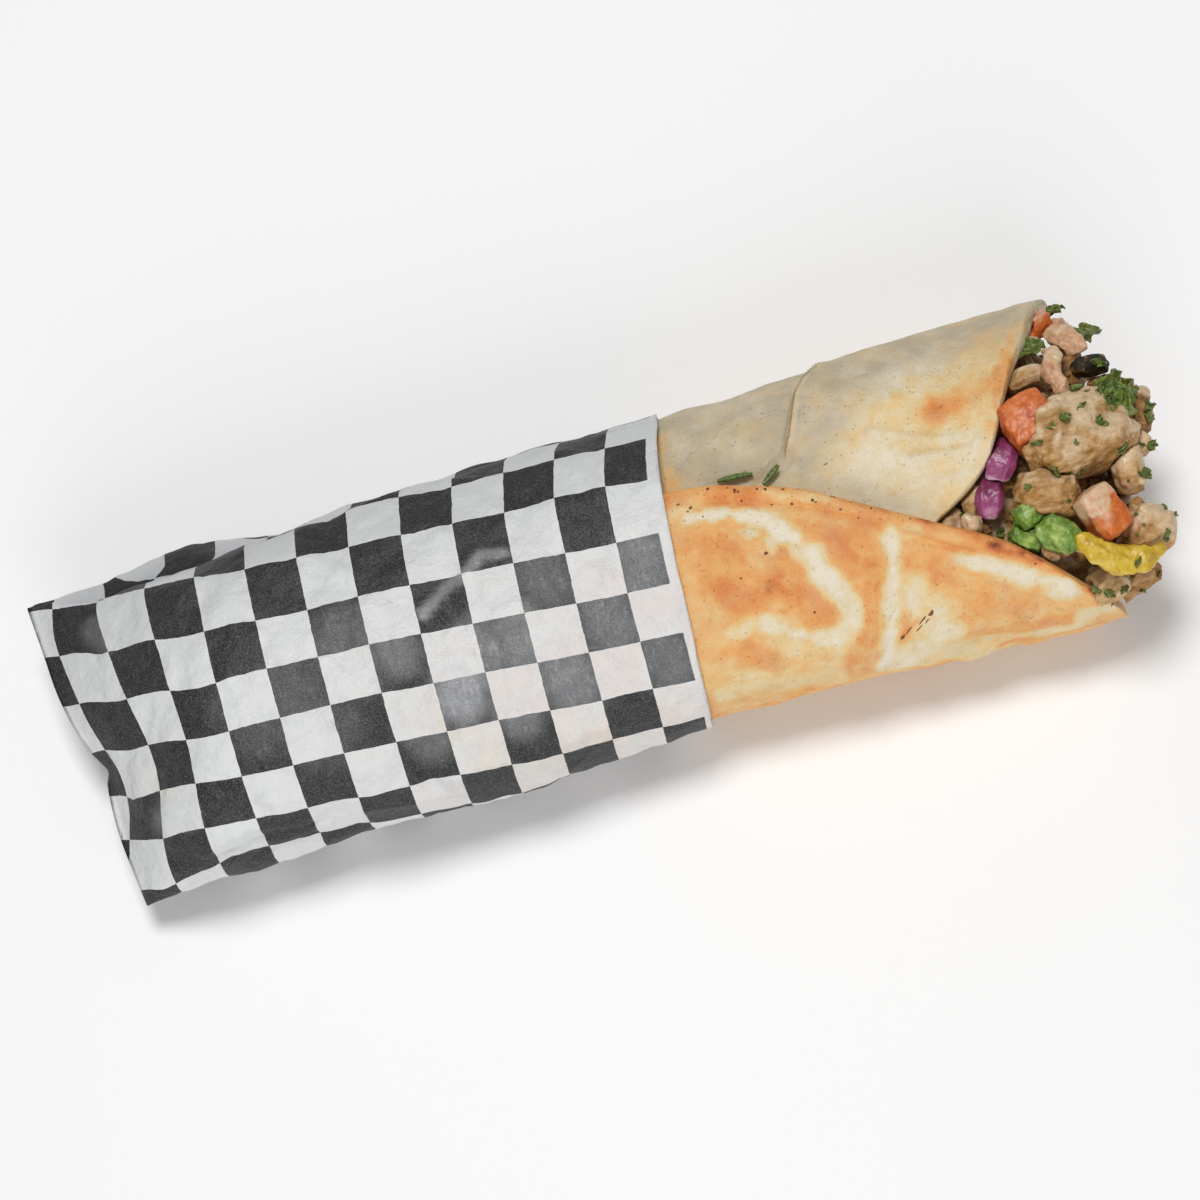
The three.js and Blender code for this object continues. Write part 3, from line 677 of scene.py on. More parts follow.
def print_rows(x, turn):
    """The printed row at each place: distance over the paper from the front panel's edge."""
    fine = np.arange(-180, 363, 3.0)
    stations = np.linspace(-5, 156, 40)
    table = []
    for station in stations:
        ring = roll_point(np.full(len(fine), max(station, 3.0)), fine, np.zeros(len(fine)))
        arcs = np.concatenate([[0], np.cumsum(np.linalg.norm(np.diff(ring, axis=0), axis=1))])
        table.append(arcs - np.interp(float(curve_at(PANEL_EDGE, station)), fine, arcs))
    table = np.array(table)
    column = np.clip((x - stations[0]) / (stations[1] - stations[0]), 0, len(stations) - 1.001)
    row = (turn - fine[0]) / 3.0
    i, j = column.astype(int), np.minimum(row.astype(int), len(fine) - 2)
    a, b = column - i, row - j
    lower = table[i, j] * (1 - b) + table[i, j + 1] * b
    upper = table[i + 1, j] * (1 - b) + table[i + 1, j + 1] * b
    return curve_at(ROWS, lower * (1 - a) + upper * a)


def print_place(x, turn, check):
    """The printed column and row at each place, where the gathered paper pulls them out of square."""
    row = print_rows(x, turn)
    front = np.sin(math.pi * np.clip(row / FRONT_ROWS, 0, 1))
    row = row - SAG * ridge(x - FRONT_SAG_X, SAG_REACH) * front
    row = row + SEAL_SAG * (1 - smooth(x, 2, 12)) * smooth(row, 0.3, 1)
    row = row + SAG * ridge(x - BACK_SAG_X, SAG_REACH) * smooth(-row, 0, 1)
    lean = lerp(0.06, curve_at(LEAN, np.abs(up_turn(turn))), smooth(x, 20, 150))
    pull = -0.5 * ridge(turn - 108, 22) + 0.15 * ridge(turn - 45, 20)
    column = (x - PRINT_START_X) / check + lean + pull * (1 - smooth(x, 3, 38))
    behind = smooth(-row, 0.85, 1.3) * (1 - smooth(x, 52, 76))
    return column - BACK_SLIP * behind, row


def printed_paper(settings):
    """Waxed paper printed with checks: grain in the ink, fat stains and a fine crumple, with painted warm
    light on the near side, painted shade and a painted sheen on the ink.
    """
    finish = Finish("printed_paper", IOR=1.45)
    wobble = finish.clouds(2.2, 2) - 0.5
    uv = finish.node("ShaderNodeUVMap", {"uv_map": "UVMap"}).outputs[0]
    parts = finish.node("ShaderNodeSeparateXYZ", None, {0: uv})
    column = Level(finish, parts.outputs[0]) + 0.03 * wobble
    row = Level(finish, parts.outputs[1]) + 0.03 * wobble
    printed_at = finish.node("ShaderNodeCombineXYZ", None, {0: column, 1: row, 2: 0.5}).outputs[0]
    checker = finish.node("ShaderNodeTexChecker", None, {"Vector": printed_at, "Scale": 1.0})
    last = PRINT_ORIGIN + PRINT_COLUMNS
    printed = Level(finish, checker.outputs[1]) * (1 - column.above(last, last + 0.02))

    rubbed = finish.stored("rubbed")
    # Painted warm light on the near side, in patches
    warmth = finish.stored("warmth") * finish.clouds(9, 4, 0.6).above(0.2, 0.7)
    paper = finish.mix(warmth, settings.white, settings.warm_lit_paper)
    dull = finish.stored("dull")
    paper = finish.tinted(
        paper,
        (finish.clouds(5, 4, 0.65).above(0.45, 0.75) * 0.35, 196, 196, 204),
        (finish.clouds(1.1, 3).above(0.5, 0.8) * 0.12, 186, 188, 194),
        (finish.stored("oiled") * 0.3, 226, 210, 172),
        # painted shade on the far side and in the gusset's valley
        (dull * 0.5, 152, 154, 162),
    )
    # Fine grain in the ink, fainter where the painted shade lies
    worn = finish.clouds(0.35, 2, 0.7).above(0.42, 0.75) * (0.2 - dull * 0.16)
    # Painted sheen: the ink is lightened a little in streaks everywhere, and more in the rubbed patches,
    # where the wax would shine
    sheen_streaks = finish.clouds(1.3, 4, 0.7, stretch=(1, 3, 1)).above(0.5, 0.74)
    painted_wax_sheen = rubbed * (0.42 + 0.36 * finish.clouds(3.5, 4, 0.6)) + rubbed * sheen_streaks * 0.34 + sheen_streaks * 0.05
    ink = finish.mix(worn + painted_wax_sheen, settings.ink, paint(184, 185, 187))
    colour = finish.mix(printed, paper, ink)

    crumple = finish.cells(13, "DISTANCE_TO_EDGE").above(0, 0.5) + finish.cells(5, "DISTANCE_TO_EDGE") * 0.3
    height = crumple * 0.5 + finish.clouds(3.5, 4, 0.6) * 0.5 + finish.clouds(0.6, 2) * 0.08
    roughness = 0.46 + finish.clouds(12, 3) * 0.2 - rubbed * 0.2
    return finish.done(colour, roughness, height, 1.5)


class WRAP_OT_sleeve(bpy.types.Operator):
    """Makes the paper sleeve: a gusseted bag, flat at its closed end and open at its mouth"""

    bl_idname = "wrap.sleeve"
    bl_label = "Paper sleeve"

    def execute(self, context):
        settings = context.scene.wrap_sleeve
        sleeve, p, q = unit_grid("sleeve_paper", *SLEEVE_GRID)
        s = SLEEVE_LENGTH * p
        turn = -90 + 360 * q
        x, point, dull = sleeve_form(s, turn, settings.crumple / MM)
        lip = smooth(s, SLEEVE_LENGTH - LIP_LENGTH, SLEEVE_LENGTH)
        point[:, 2] += LIP_RISE * lip * np.maximum(np.sin(np.radians(turn)), 0)
        write(sleeve, point + SHIFT)
        column, row = print_place(x, turn, settings.check / MM)
        map_uv(sleeve, column + PRINT_ORIGIN, row + PRINT_ORIGIN + 1)
        near = nearness(turn)
        # Painted warm light: on the near side, growing towards the mouth
        store(sleeve, "warmth", smooth(x, 30, 130) * smooth(near, 0.3, 0.75))
        # Painted shade for the far side and the gusset's valley
        store(sleeve, "dull", dull)
        # The rubbed patches carry painted sheen and lower roughness; the oiled ones are fat stains
        for name, patches in (("rubbed", RUBBED_SHEEN), ("oiled", OILED)):
            amount = 0 * x
            for away, half, strength in marks(patches, x, turn):
                amount = np.maximum(amount, strength * mark(away, half))
            store(sleeve, name, amount)
        edit(sleeve, weld(2e-5), face_out)
        modify(sleeve, "SOLIDIFY", thickness=settings.thickness, offset=-1.0)
        finish_piece(sleeve, printed_paper(settings), "paper_sleeve", "paper_sleeve")
        return {"FINISHED"}


# ---- The flatbread ------------------------------------------------------------------------------
class BreadSettings(bpy.types.PropertyGroup):
    """Sizes and colours of the toasted flatbread."""

    lip: length_property("Rounded edge", "Half thickness over which the bread's edges round off", 2.2)
    cream: colour_property("Untoasted", "Colour of the bread where the griddle missed it", 236, 224, 202)
    pale: colour_property("Pale", "Colour of barely toasted bread", 230, 214, 180)
    straw: colour_property("Straw", "Colour of lightly toasted bread", 232, 202, 146)
    golden: colour_property("Golden", "Colour of golden bread", 232, 168, 100)
    toasted: colour_property("Toasted", "Colour of toasted bread", 222, 138, 74)
    brown: colour_property("Browned", "Colour of well toasted bread", 178, 94, 48)
    scorch: colour_property("Scorched", "Colour of the darkest flecks", 84, 44, 24)


SWIRL = (  # untoasted swirls of the near flap, with half width and strength
    (154, 86, 157, 86.5, 163, 88, 168.4, 90.5, 172.7, 94.5, 1.25, 0.95), (158, 86, 163, 87.5, 1.5, 0.5),
    (172.7, 95, 176, 100, 178.7, 107.5, 2.3, 1), (178.2, 107, 180.2, 115.5, 182, 123, 2.7, 1),
    (174.5, 101, 177, 108, 179, 120, 3.4, 0.25),
    (182.5, 124, 184, 132.5, 183, 138.5, 179.6, 143.5, 174.5, 142.5, 169.2, 137, 164, 130.5, 2.1, 0.8),
    (164, 130.5, 160.9, 128, 156.2, 130.5, 1.7, 0.5), (166, 138, 172, 147, 179, 149, 3.2, 0.35),
    (164, 94, 167.9, 96.5, 170.3, 99.5, 170.3, 103.5, 0.9, 0.6), (163, 110, 167, 104, 2.2, 0.2),
    (197.9, 107, 196.4, 119, 194.4, 130, 192.3, 143, 190, 159, 188, 168, 2, 0.92),
    (198, 107.5, 204, 110, 1.8, 0.5), (205, 111, 212, 116, 1.6, 0.3),
    (212, 124, 217.2, 128, 223.2, 133.5, 1.9, 0.85), (221, 131.5, 229.1, 141, 234.3, 148, 2.7, 0.9),
    (199.1, 133, 201.5, 146, 199.4, 156, 4, 0.62), (203, 157, 198, 166, 192.5, 173, 4.2, 0.75),
    (192, 174, 204, 170, 212, 182, 3.4, 0.5), (236, 168, 243, 169, 2.2, 0.6),
    (149.6, 162, 158.5, 161, 166.9, 165.5, 176, 171, 2.8, 0.35), (155, 154, 166, 158, 176, 156, 1.8, 0.2),
    (213, 173, 222, 176, 234, 175, 1.3, 0.5), (152, 80, 157, 81, 1.6, 0.4),
    (172, 84, 178, 88, 186, 91, 1, 0.3),
)
TOAST = (  # browned marks of the near flap
    (158, 97, 160, 107, 162, 116, 6.2, 0.09), (156.6, 112, 163, 117, 3.2, 0.09),
    (157, 96, 160, 97, 2.8, 0.08), (164, 108, 166, 116, 1.6, 0.08),
    (172, 117, 175.1, 126.5, 176.6, 132, 4.4, 0.17), (172, 104, 174.4, 109, 1.8, 0.12),
    (170, 113, 172, 122, 1.4, 0.07),
    (191.2, 106.5, 191.4, 120.5, 189.2, 132, 186.8, 148.5, 182.2, 157, 2.5, 0.08),
    (190.6, 118, 189.2, 131, 187.6, 140, 1.6, 0.12), (185.6, 104, 188, 112, 1.6, 0.08),
    (148, 135, 156.6, 139.5, 162.5, 146, 3.2, 0.11), (152, 137, 158, 139, 1.6, 0.08),
    (202.1, 121, 205, 124.5, 205.9, 129, 3.4, 0.12), (203.6, 122.5, 205, 126, 1.7, 0.08),
    (210, 138, 214, 145, 3.2, 0.07), (219.4, 166, 227.8, 168.5, 235.8, 166.5, 1.5, 0.1),
    (193.6, 153.4, 197.4, 148.5, 201.2, 143.6, 0.8, 0.3), (213, 173, 228, 183, 3.2, 0.05),
    (150, 77, 158, 79, 170, 84, 2.2, 0.12), (186, 87, 206, 104, 228, 130, 243, 152, 2.2, 0.08),
    (206, 105.5, 218, 116, 232, 133, 1.1, 0.14), (197, 96, 201, 99, 1.4, 0.1),
    (208, 106, 213, 110, 1.4, 0.12), (220, 123, 230, 135, 240, 150, 1.5, 0.22),
    (236, 146, 241, 156, 247, 170, 1.1, 0.32),
)
FAR_TOAST = (  # browned marks of the far flap
    (201, 69, 206, 67, 209, 75, 5, 0.1), (212, 65, 217, 72, 3.6, 0.08),
    (217, 74, 222.5, 77, 227.5, 80, 4, 0.1), (217, 72, 225, 71, 229.7, 70, 233.9, 67, 3.4, 0.13),
    (233, 69, 237.4, 63, 241, 56, 244, 48, 2.6, 0.09), (228, 78, 234, 70, 239, 60, 3.4, 0.08),
    (223, 62, 230, 58, 238, 50, 4.6, 0.09), (226, 48, 233, 47, 240, 44, 3, 0.05),
    (222.5, 87, 228, 86, 3.2, 0.05), (236, 62, 240, 53, 244, 42, 1.4, 0.08), (218, 72, 222, 75, 1.8, 0.07),
    (209, 79, 215, 80, 2.6, 0.05), (151, 42, 153, 72, 3, 0.2), (168, 50, 176, 56, 3, 0.04),
    (211, 106, 221, 95, 229, 83, 237, 66, 1.2, 0.08),
)
SEAM = (  # where the far flap's outer fold begins: turn, x
    (-20, 199), (10, 197), (29.5, 194.8), (36, 191.2), (45, 187.8), (55, 185.2), (63.5, 182.7),
    (67.5, 180.9), (76, 178),
)
HERB_BEDS = ((162, 72, 171, 74.5, 1.4, 1.9), (173, 77, 180.6, 69.5, 1.4, 1.9))  # where the cut herbs lie
WRINKLES = (  # soft folds of the far flap, with height and half width
    (201, 73, 205, 76, 209.8, 80, 216, 83.5, 221, 85, 1.1, 1.1),
    (205, 79, 209, 83, 215.6, 85.8, 222, 87, -1, 0.9), (208, 86, 213.5, 87, 219.4, 88, 225, 87, 1, 1.1),
    (206, 90, 211.6, 91, 218.5, 92, 224, 92, -0.8, 1.5), (202, 92, 210, 93, 217, 96, 0.4, 1.6),
    (216, 71, 220, 73, 221, 76, -0.5, 1.4), (226, 77, 232, 71, 238, 60, 0.5, 1.5),
    (231, 62, 234, 65, 236, 68, -0.4, 0.9), (234, 55, 238, 57, 240, 60, -0.4, 0.8),
    (200, 52, 214, 50, 226, 44, 0.5, 3.5), (203, 40, 220, 36, 236, 26, -0.5, 3),
    (226, 18, 236, 22, 242, 16, -0.7, 2), (160, 50, 170, 56, 178, 60, 0.4, 3.5),
    (158, 34, 172, 38, 186, 30, -0.4, 3),
)
NEAR_FOLDS = (  # dents and swellings of the near flap
    (160, 105, 163, 109, 0.6, 6), (174, 123, 178, 128, 0.5, 4.5), (166, 97, 169, 101, 0.35, 2.6),
    (174, 99, 180, 108, 184, 122, 184, 134, 176, 143, 166, 141, -0.5, 2),
    (157, 91, 166, 92, 173, 97, -0.35, 1.4), (210, 122, 222, 130, 234, 144, 0.5, 3),
    (212, 140, 222, 150, 234, 156, -0.4, 3.5), (180, 176, 192, 172, 203, 178, 0.7, 3),
    (206, 176, 212, 170, 222, 174, -0.8, 3), (226, 170, 234, 176, 0.6, 2.6),
    (158, 168, 168, 174, 176, 170, -0.6, 3), (202, 180, 205, 188, -0.8, 1.9), (208, 184, 213, 182, 1, 2.1),
    (216.5, 186, 220, 182, -0.7, 1.7), (223, 186, 227, 184, 0.7, 1.9), (231, 184, 234, 182, -0.6, 1.6),
    (194, 118, 191, 135, 188, 155, -0.5, 1.4), (203, 122, 206, 129, 0.4, 3), (154, 137, 162, 144, 0.4, 2.6),
    (172, 117, 176, 131, 0.3, 3.4), (213, 125, 224, 134.5, 233, 147, -0.4, 2),
)
RIM_BAND = 5.6  # width of the rounded band along the near flap's rim
BREAD_GRID = (172, 276)  # faces along the roll and round it


def bread_marks(x, turn):
    """Relief into the bread's face in mm, and at each place how toasted and specked it is, how much painted
    shade it gets, how far ahead of the far flap's seam, and how plain the seam is there."""
    is_near = turn < -90
    near = np.where(is_near, turn + 360, 500.0)
    far = np.where(is_near, -500.0, turn)
    near_x = np.where(is_near, x, -500.0)
    far_x = np.where(is_near, -500.0, x)
    bare = smooth(x, SLEEVE_LENGTH + 2, SLEEVE_LENGTH + 14)

    flat = np.stack([x, around_mm(np.clip(up_turn(turn % 360), -180, 180)), 40.0 * is_near], axis=1)
    soft = grain(flat, 26, 11, 2)
    fine = grain(flat, 7, 13, 3)
    wobble = 1.6 * grain(flat, 5.5, 17, 2) + 0.5 * grain(flat, 1.8, 19, 2)

    relief = -0.7 * soft - 0.3 * fine
    from_rim = np.where(is_near, around_mm(near) - around_mm(curve_at(RIM, x)), 99)
    band = (1 - smooth(x, 205, 235)) * is_near
    groove = from_rim - RIM_BAND - 0.4 * fine
    relief += band * 1.0 * ridge(groove, 0.9)
    relief -= band * 0.6 * ridge(from_rim - RIM_BAND / 2, 2.0)
    for away, height, half in marks(NEAR_FOLDS, near_x, near):
        relief -= height * ridge(away, half)
    crests = sum(height * ridge(away, half) for away, height, half in marks(WRINKLES, far_x, far))
    relief -= crests
    away = path_distance(x, turn, [(place, at) for at, place in SEAM])
    seam = np.where(x > curve_at(SEAM, turn), away, -away)
    seamed = smooth(turn, 16, 34) * (1 - smooth(turn, 66, 70))
    relief += seamed * (0.5 * ridge(seam + 0.6, 0.9) - 0.25 * ridge(seam - 1.2, 1.0))
    for away, depth, half in marks(HERB_BEDS, far_x, far):
        relief += depth * mark(away, half)

    on_far_top = smooth(turn, -40, 10)
    toast = lerp(0.40, 0.205, on_far_top) + 0.055 * is_near
    toast = toast + 0.09 * soft + 0.09 * fine + 0.06 * grain(flat, 2.6, 23, 2) + 0.05 * grain(flat, 13, 31, 2)
    for away, half, strength in marks(TOAST, near_x, near, wobble):
        toast += strength * mark(away, half)
    untoasted = np.zeros(len(x))
    for away, half, strength in marks(SWIRL, near_x, near, wobble):
        untoasted = np.maximum(untoasted, strength * mark(away, half))
    untoasted = np.clip(untoasted * (1 + 0.35 * grain(flat, 3.4, 29, 2)), 0, 1)
    toast *= 1 - 0.84 * untoasted
    for away, half, strength in marks(FAR_TOAST, far_x, far, 0.7 * wobble):
        toast += strength * mark(away, half)
    # The last term paints a highlight on the far flap's wrinkle crests and shade in their troughs
    toast += 0.12 * band * ridge(groove, 0.9) + 0.05 * band * (from_rim < RIM_BAND) - 0.05 * crests
    rim = curve_at(RIM, x)
    toast *= 1 - 0.5 * np.where(is_near, 0, smooth(turn, rim + 2, rim + 12))

    specked = band * (from_rim < RIM_BAND + 1) * (1 - smooth(x, 182, 205)) + 0.15 * is_near
    # Painted shade: the far flap is greyed on its far side, and a painted shadow lies on it beside the near
    # flap's rim
    painted_shade_end = lerp(68, 40, smooth(x, 180, 216)) + 6 * soft
    painted_rim_shadow = 0.95 * smooth(turn, rim - 15, rim - 3) * (1 - smooth(x, 194, 212)) * (turn < rim + 4)
    grey = on_far_top * (1 - is_near) * np.maximum(1 - smooth(turn, painted_shade_end, painted_shade_end + 26), painted_rim_shadow)
    return relief * bare, np.clip(toast, 0, 1), specked, grey, seam, seamed


PUFF = 0.5  # half the height of the bread's soft puffs
FAR_FOLD_X = 180  # where the far flap's fold crosses FAR_FOLD_TURN
FAR_FOLD_TURN = 68
FAR_FOLD_SLANT = 15 / 47  # mm along the roll for each degree
FAR_FOLD_DIP = 0.6  # behind the fold
FAR_FOLD_RISE = 1.4  # ahead of it, dying away over FAR_FOLD_FADE
FAR_FOLD_FADE = 14
NEAR_STEP_X = 195  # where the near flap's step begins, on top
NEAR_STEP_LEAN = 7  # mm by which it lies further back on the flank
NEAR_STEP = 0.8


def bread_relief(x, turn):
    """The solid's own low relief: puffs, the far flap's fold and the near flap's step."""
    puffs = PUFF * (1 + np.sin(x / 7 + 1) * np.sin(np.radians(turn) * 3 + x / 19))
    on_far = smooth(turn, -10, 20) * (1 - smooth(turn, 63, 74))
    past = x - (FAR_FOLD_X + FAR_FOLD_SLANT * (FAR_FOLD_TURN - turn))
    rise = FAR_FOLD_RISE * np.exp(-np.maximum(past, 0) / FAR_FOLD_FADE)
    fold = np.where(past < 0, FAR_FOLD_DIP, -rise)
    near = turn + 360
    on_near = smooth(near, 105, 115) * (1 - smooth(near, 170, 180))
    step_x = NEAR_STEP_X - NEAR_STEP_LEAN * smooth(near, 115, 170)
    step = NEAR_STEP * smooth(x, step_x - 1.2, step_x + 1.2)
    bare = smooth(x, SLEEVE_LENGTH + 6, SLEEVE_LENGTH + 20)
    return bare * (puffs + fold * on_far + step * on_near)


def toasted_bread(settings):
    """Griddled flatbread: cream to brown with its toast, pores, flour and dark flecks, and painted shade on
    the far flap, with a painted shadow and highlight along its seam.
    """
    finish = Finish("toasted_bread", IOR=1.4, Subsurface_Weight=0.06, Subsurface_Scale=0.003)
    toast = finish.stored("toast") + (finish.clouds(3.0, 5, 0.65) - 0.5) * 0.24
    toast = toast + (finish.clouds(0.8, 3, 0.6) - 0.5) * 0.12
    colour = finish.ramp(toast, (
        (0.0, settings.cream), (0.08, settings.cream), (0.2, settings.pale), (0.33, settings.straw),
        (0.52, settings.golden), (0.70, settings.toasted), (0.88, settings.brown), (1.0, settings.scorch),
    ))
    even = finish.stored("toast")
    bare = 1 - even.above(0.27, 0.5)
    browned = even.above(0.34, 0.48)
    grey = finish.stored("grey") * (0.45 + 0.55 * finish.clouds(9, 4, 0.6).above(0.3, 0.65))
    hue = finish.clouds(7, 4, 0.6)
    seam = finish.stored("seam") + (finish.clouds(5, 2) - 0.5) * 0.5
    seamed = finish.stored("seamed")
    # Along the far flap's seam: a painted highlight ahead of the fold, a painted shadow behind it, and the
    # seam's own dark line
    ahead, behind = seam - 0.9, seam + 0.8
    colour = finish.tinted(
        colour,
        # painted shade and painted shadow on the far flap
        (grey * bare * 0.85, 182, 169, 146),
        (finish.clouds(6, 4, 0.6).above(0.5, 0.72) * bare * 0.35, 214, 184, 132),
        (hue.above(0.5, 0.66) * browned * 0.4, 214, 148, 108),
        ((1 - hue.above(0.36, 0.5)) * browned * 0.4, 240, 194, 124),
        # painted highlight ahead of the seam's fold
        ((1 - (ahead * ahead).above(0.1, 0.7)) * seamed * 0.4, 226, 204, 158),
        # painted shadow behind the seam's fold
        ((1 - (behind * behind).above(0.1, 1.0)) * seamed * 0.2, 150, 132, 102),
        ((1 - (seam * seam).above(0.015, 0.14)) * seamed * 0.75, 164, 124, 70),
    )
    specks = (1 - finish.cells(2.1).above(0.16, 0.24)) * finish.clouds(3.1, 1).above(0.50, 0.56)
    colour = finish.mix(specks * finish.stored("specked") * 0.8, colour, settings.scorch)
    pores = (1 - finish.cells(1.3).above(0.10, 0.2)) * finish.clouds(2.3, 1).above(0.5, 0.6)
    colour = finish.mix(pores * 0.22, colour, settings.brown)
    height = finish.clouds(3.2, 5, 0.62) + finish.clouds(0.8, 3, 0.6) * 0.3 - pores * 0.3
    return finish.done(colour, 0.6 + (finish.clouds(5, 2) - 0.5) * 0.2, height, 0.6)


def even_out(t, stretches):
    """Places from 0 to 1 that fall in each (up to, weight) stretch as thickly as its weight says."""
    ends = [0.0] + [end for end, _ in stretches]
    shares = [0.0] + [(stop - start) * weight for start, stop, (_, weight) in zip(ends, ends[1:], stretches)]
    knots = np.cumsum(shares)
    return np.interp(t * knots[-1], knots, ends)


CHARRED = (  # dark flecks baked into the bread: x, turn, length, width, spin
    (169, 103, 1.1, 0.9, 0), (161, 109, 0.6, 0.6, 0), (175, 129, 0.7, 0.6, 0), (155, 82, 1.1, 0.8, 40),
    (154, 83.5, 0.7, 0.5, 0), (157, 86.5, 0.5, 0.5, 0), (166, 82.6, 0.6, 0.9, 0), (165, 80, 0.6, 0.5, 0),
    (171.8, 82.6, 0.7, 0.8, 20), (173.6, 83.4, 0.7, 1, 10), (177.5, 84.4, 1, 0.6, -20),
    (189.5, 89.2, 0.5, 0.6, 0), (196, 96.5, 0.6, 0.8, 0), (204, 102.5, 0.6, 0.5, 0),
    (193.4, 153.2, 1.6, 0.8, 38), (201.3, 143.2, 1.9, 0.9, 38), (195.2, 149.4, 2.6, 0.35, 40),
    (198.8, 145.2, 3, 0.4, 38), (197.6, 149.6, 2.4, 0.3, 36), (200.4, 145.6, 1.6, 0.3, 38),
    (188.2, 80.6, 1.2, 0.3, 10), (203, 97.4, 0.5, 0.5, 0), (243.6, 152, 1.2, 0.4, 30),
    (245.8, 160, 1.4, 0.4, 40), (228, 130.5, 0.7, 0.5, 20),
)


def char_finish(settings):
    """Charred spots: brown, redder at their thin edges."""
    finish = Finish("charred_fleck", IOR=1.4)
    colour = finish.mix(finish.clouds(0.5, 3).above(0.3, 0.65), settings.scorch, paint(142, 84, 46))
    return finish.done(colour, 0.6, finish.clouds(0.4, 2), 0.1)


class WRAP_OT_flatbread(bpy.types.Operator):
    """Makes the flatbread: one sheet rolled round, lapped on top, with its toasted and creamy swirls"""

    bl_idname = "wrap.flatbread"
    bl_label = "Flatbread"

    def execute(self, context):
        settings = context.scene.wrap_bread
        lip = settings.lip / MM

        def form(p, q, side):
            p = even_out(p, ((0.01, 3), (0.42, 0.18), (0.47, 1), (0.99, 1), (1.0, 3)))
            station = np.interp(p, (0, 0.45, 1), (BREAD_START, 146, BREAD_END))
            t = even_out(q, ((0.012, 3), (0.34, 1.1), (0.70, 0.5), (0.988, 1.1), (1.0, 3)))
            free, rim = curve_at(FREE_EDGE, station), curve_at(RIM, station) - 360
            turn = lerp(free, rim, t)
            under = smooth(-np.sin(np.radians(turn)), 0, 0.8)
            x = station - TROUGH_BACK * under * smooth(station, 215, BREAD_END)
            round_back = around_mm(360.0) - around_mm(rim + 360)
            span = around_mm(free) - around_mm(np.maximum(rim, -180)) + np.where(rim < -180, round_back, 0)
            edge = np.minimum(t, 1 - t) * span
            edge = np.minimum(edge, np.minimum(station - BREAD_START, BREAD_END - station))
            within = np.clip(1 - edge / lip, 0, 1)
            half = BREAD / 2 * np.sqrt(np.maximum(1 - within**2, 0))
            clear = 3.8 * (1 - smooth(x, 84, 100)) + 1.1 * (1 - smooth(x, 130, 147))
            inset = bread_inset(x, turn) + BREAD / 2 - side * half + clear
            if side > 0:
                relief, *painted = bread_marks(x, turn)
                inset = inset + (bread_relief(x, turn) + relief) * np.minimum(edge / 2, 1)
            else:
                toast = 0.12 + 0.34 * (1 - smooth((1 - t) * span, 0.6, 2.6))
                painted = [toast, 0 * x, 0 * x, 0 * x, 0 * x]
            return roll_point(x, turn, inset) + SHIFT, painted

        painted = ("toast", "specked", "grey", "seam", "seamed")
        bread = two_faced("bread_sheet", *BREAD_GRID, form, painted)
        finish_piece(bread, toasted_bread(settings), "flatbread", "flatbread")

        surface = BVHTree.FromObject(bread, context.evaluated_depsgraph_get())
        flecks = []
        for k, (x, turn, length, width, spin) in enumerate(CHARRED):
            above = Vector(roll_point(np.array([float(x)]), np.array([float(turn)]), -2.0)[0] + SHIFT) * MM
            place, normal, *_ = surface.find_nearest(above)
            flecks.append(fleck_blob(f"char_{k}", (length / 2, width / 2, 0.1), k))
            place_on(flecks[-1], standing(Vector(place) / MM, normal, math.radians(spin), 0.03))
        finish_piece(joined("bread_flecks", flecks), char_finish(settings), "flatbread")
        return {"FINISHED"}


# ---- The filling --------------------------------------------------------------------------------
class FillingSettings(bpy.types.PropertyGroup):
    """Colours of the meat, salad and sauce."""

    meat: colour_property("Meat", "Colour of the roasted meat", 172, 128, 74)
    meat_light: colour_property("Tender meat", "Colour of its paler strands", 212, 176, 126)
    meat_dark: colour_property("Seared meat", "Colour of its seared edges", 84, 54, 28)
    sauce: colour_property("Sauce", "Colour of the creamy sauce", 228, 202, 168)
    tomato: colour_property("Tomato", "Colour of the tomato's flesh", 206, 106, 42)
    tomato_pale: colour_property("Pale tomato", "Colour of its paler cut faces", 222, 138, 88)
    onion: colour_property("Red onion", "Colour of the onion's skin side", 118, 38, 78)
    onion_pale: colour_property("Pale onion", "Colour of the onion's inner side", 206, 172, 180)
    yellow: colour_property("Yellow pepper", "Colour of the banana pepper", 212, 178, 50)
    green: colour_property("Green pepper", "Colour of the chopped green pepper", 116, 148, 56)
    leaf: colour_property("Herbs", "Colour of the parsley and lettuce", 100, 120, 50)
    sauce_depth: length_property("Sauce thickness", "How far the sauce stands out", 0.3)


def centre_of(rows):
    return (rows.min(axis=0) + rows.max(axis=0)) / 2


def sauced(piece, amount, seed, depth, towards=(0.45, 0.75, 0.2)):
    """Lays sauce over the parts that lie `towards` a side, in uneven pools; `amount` from 0 to 1."""
    rows, normals = read(piece), read(piece, "normal")
    aside = (rows - centre_of(rows)) / (np.ptp(rows, axis=0) / 2)
    facing = (0.4 * normals + 0.9 * aside) @ np.array(towards, float)
    pools = grain(rows, 6, seed, 3)
    cover = smooth(0.8 * pools + 0.6 * facing + 1.6 * amount, 0.5, 1.0) * (amount > 0)
    swell(piece, depth * cover)
    store(piece, "sauce", cover)


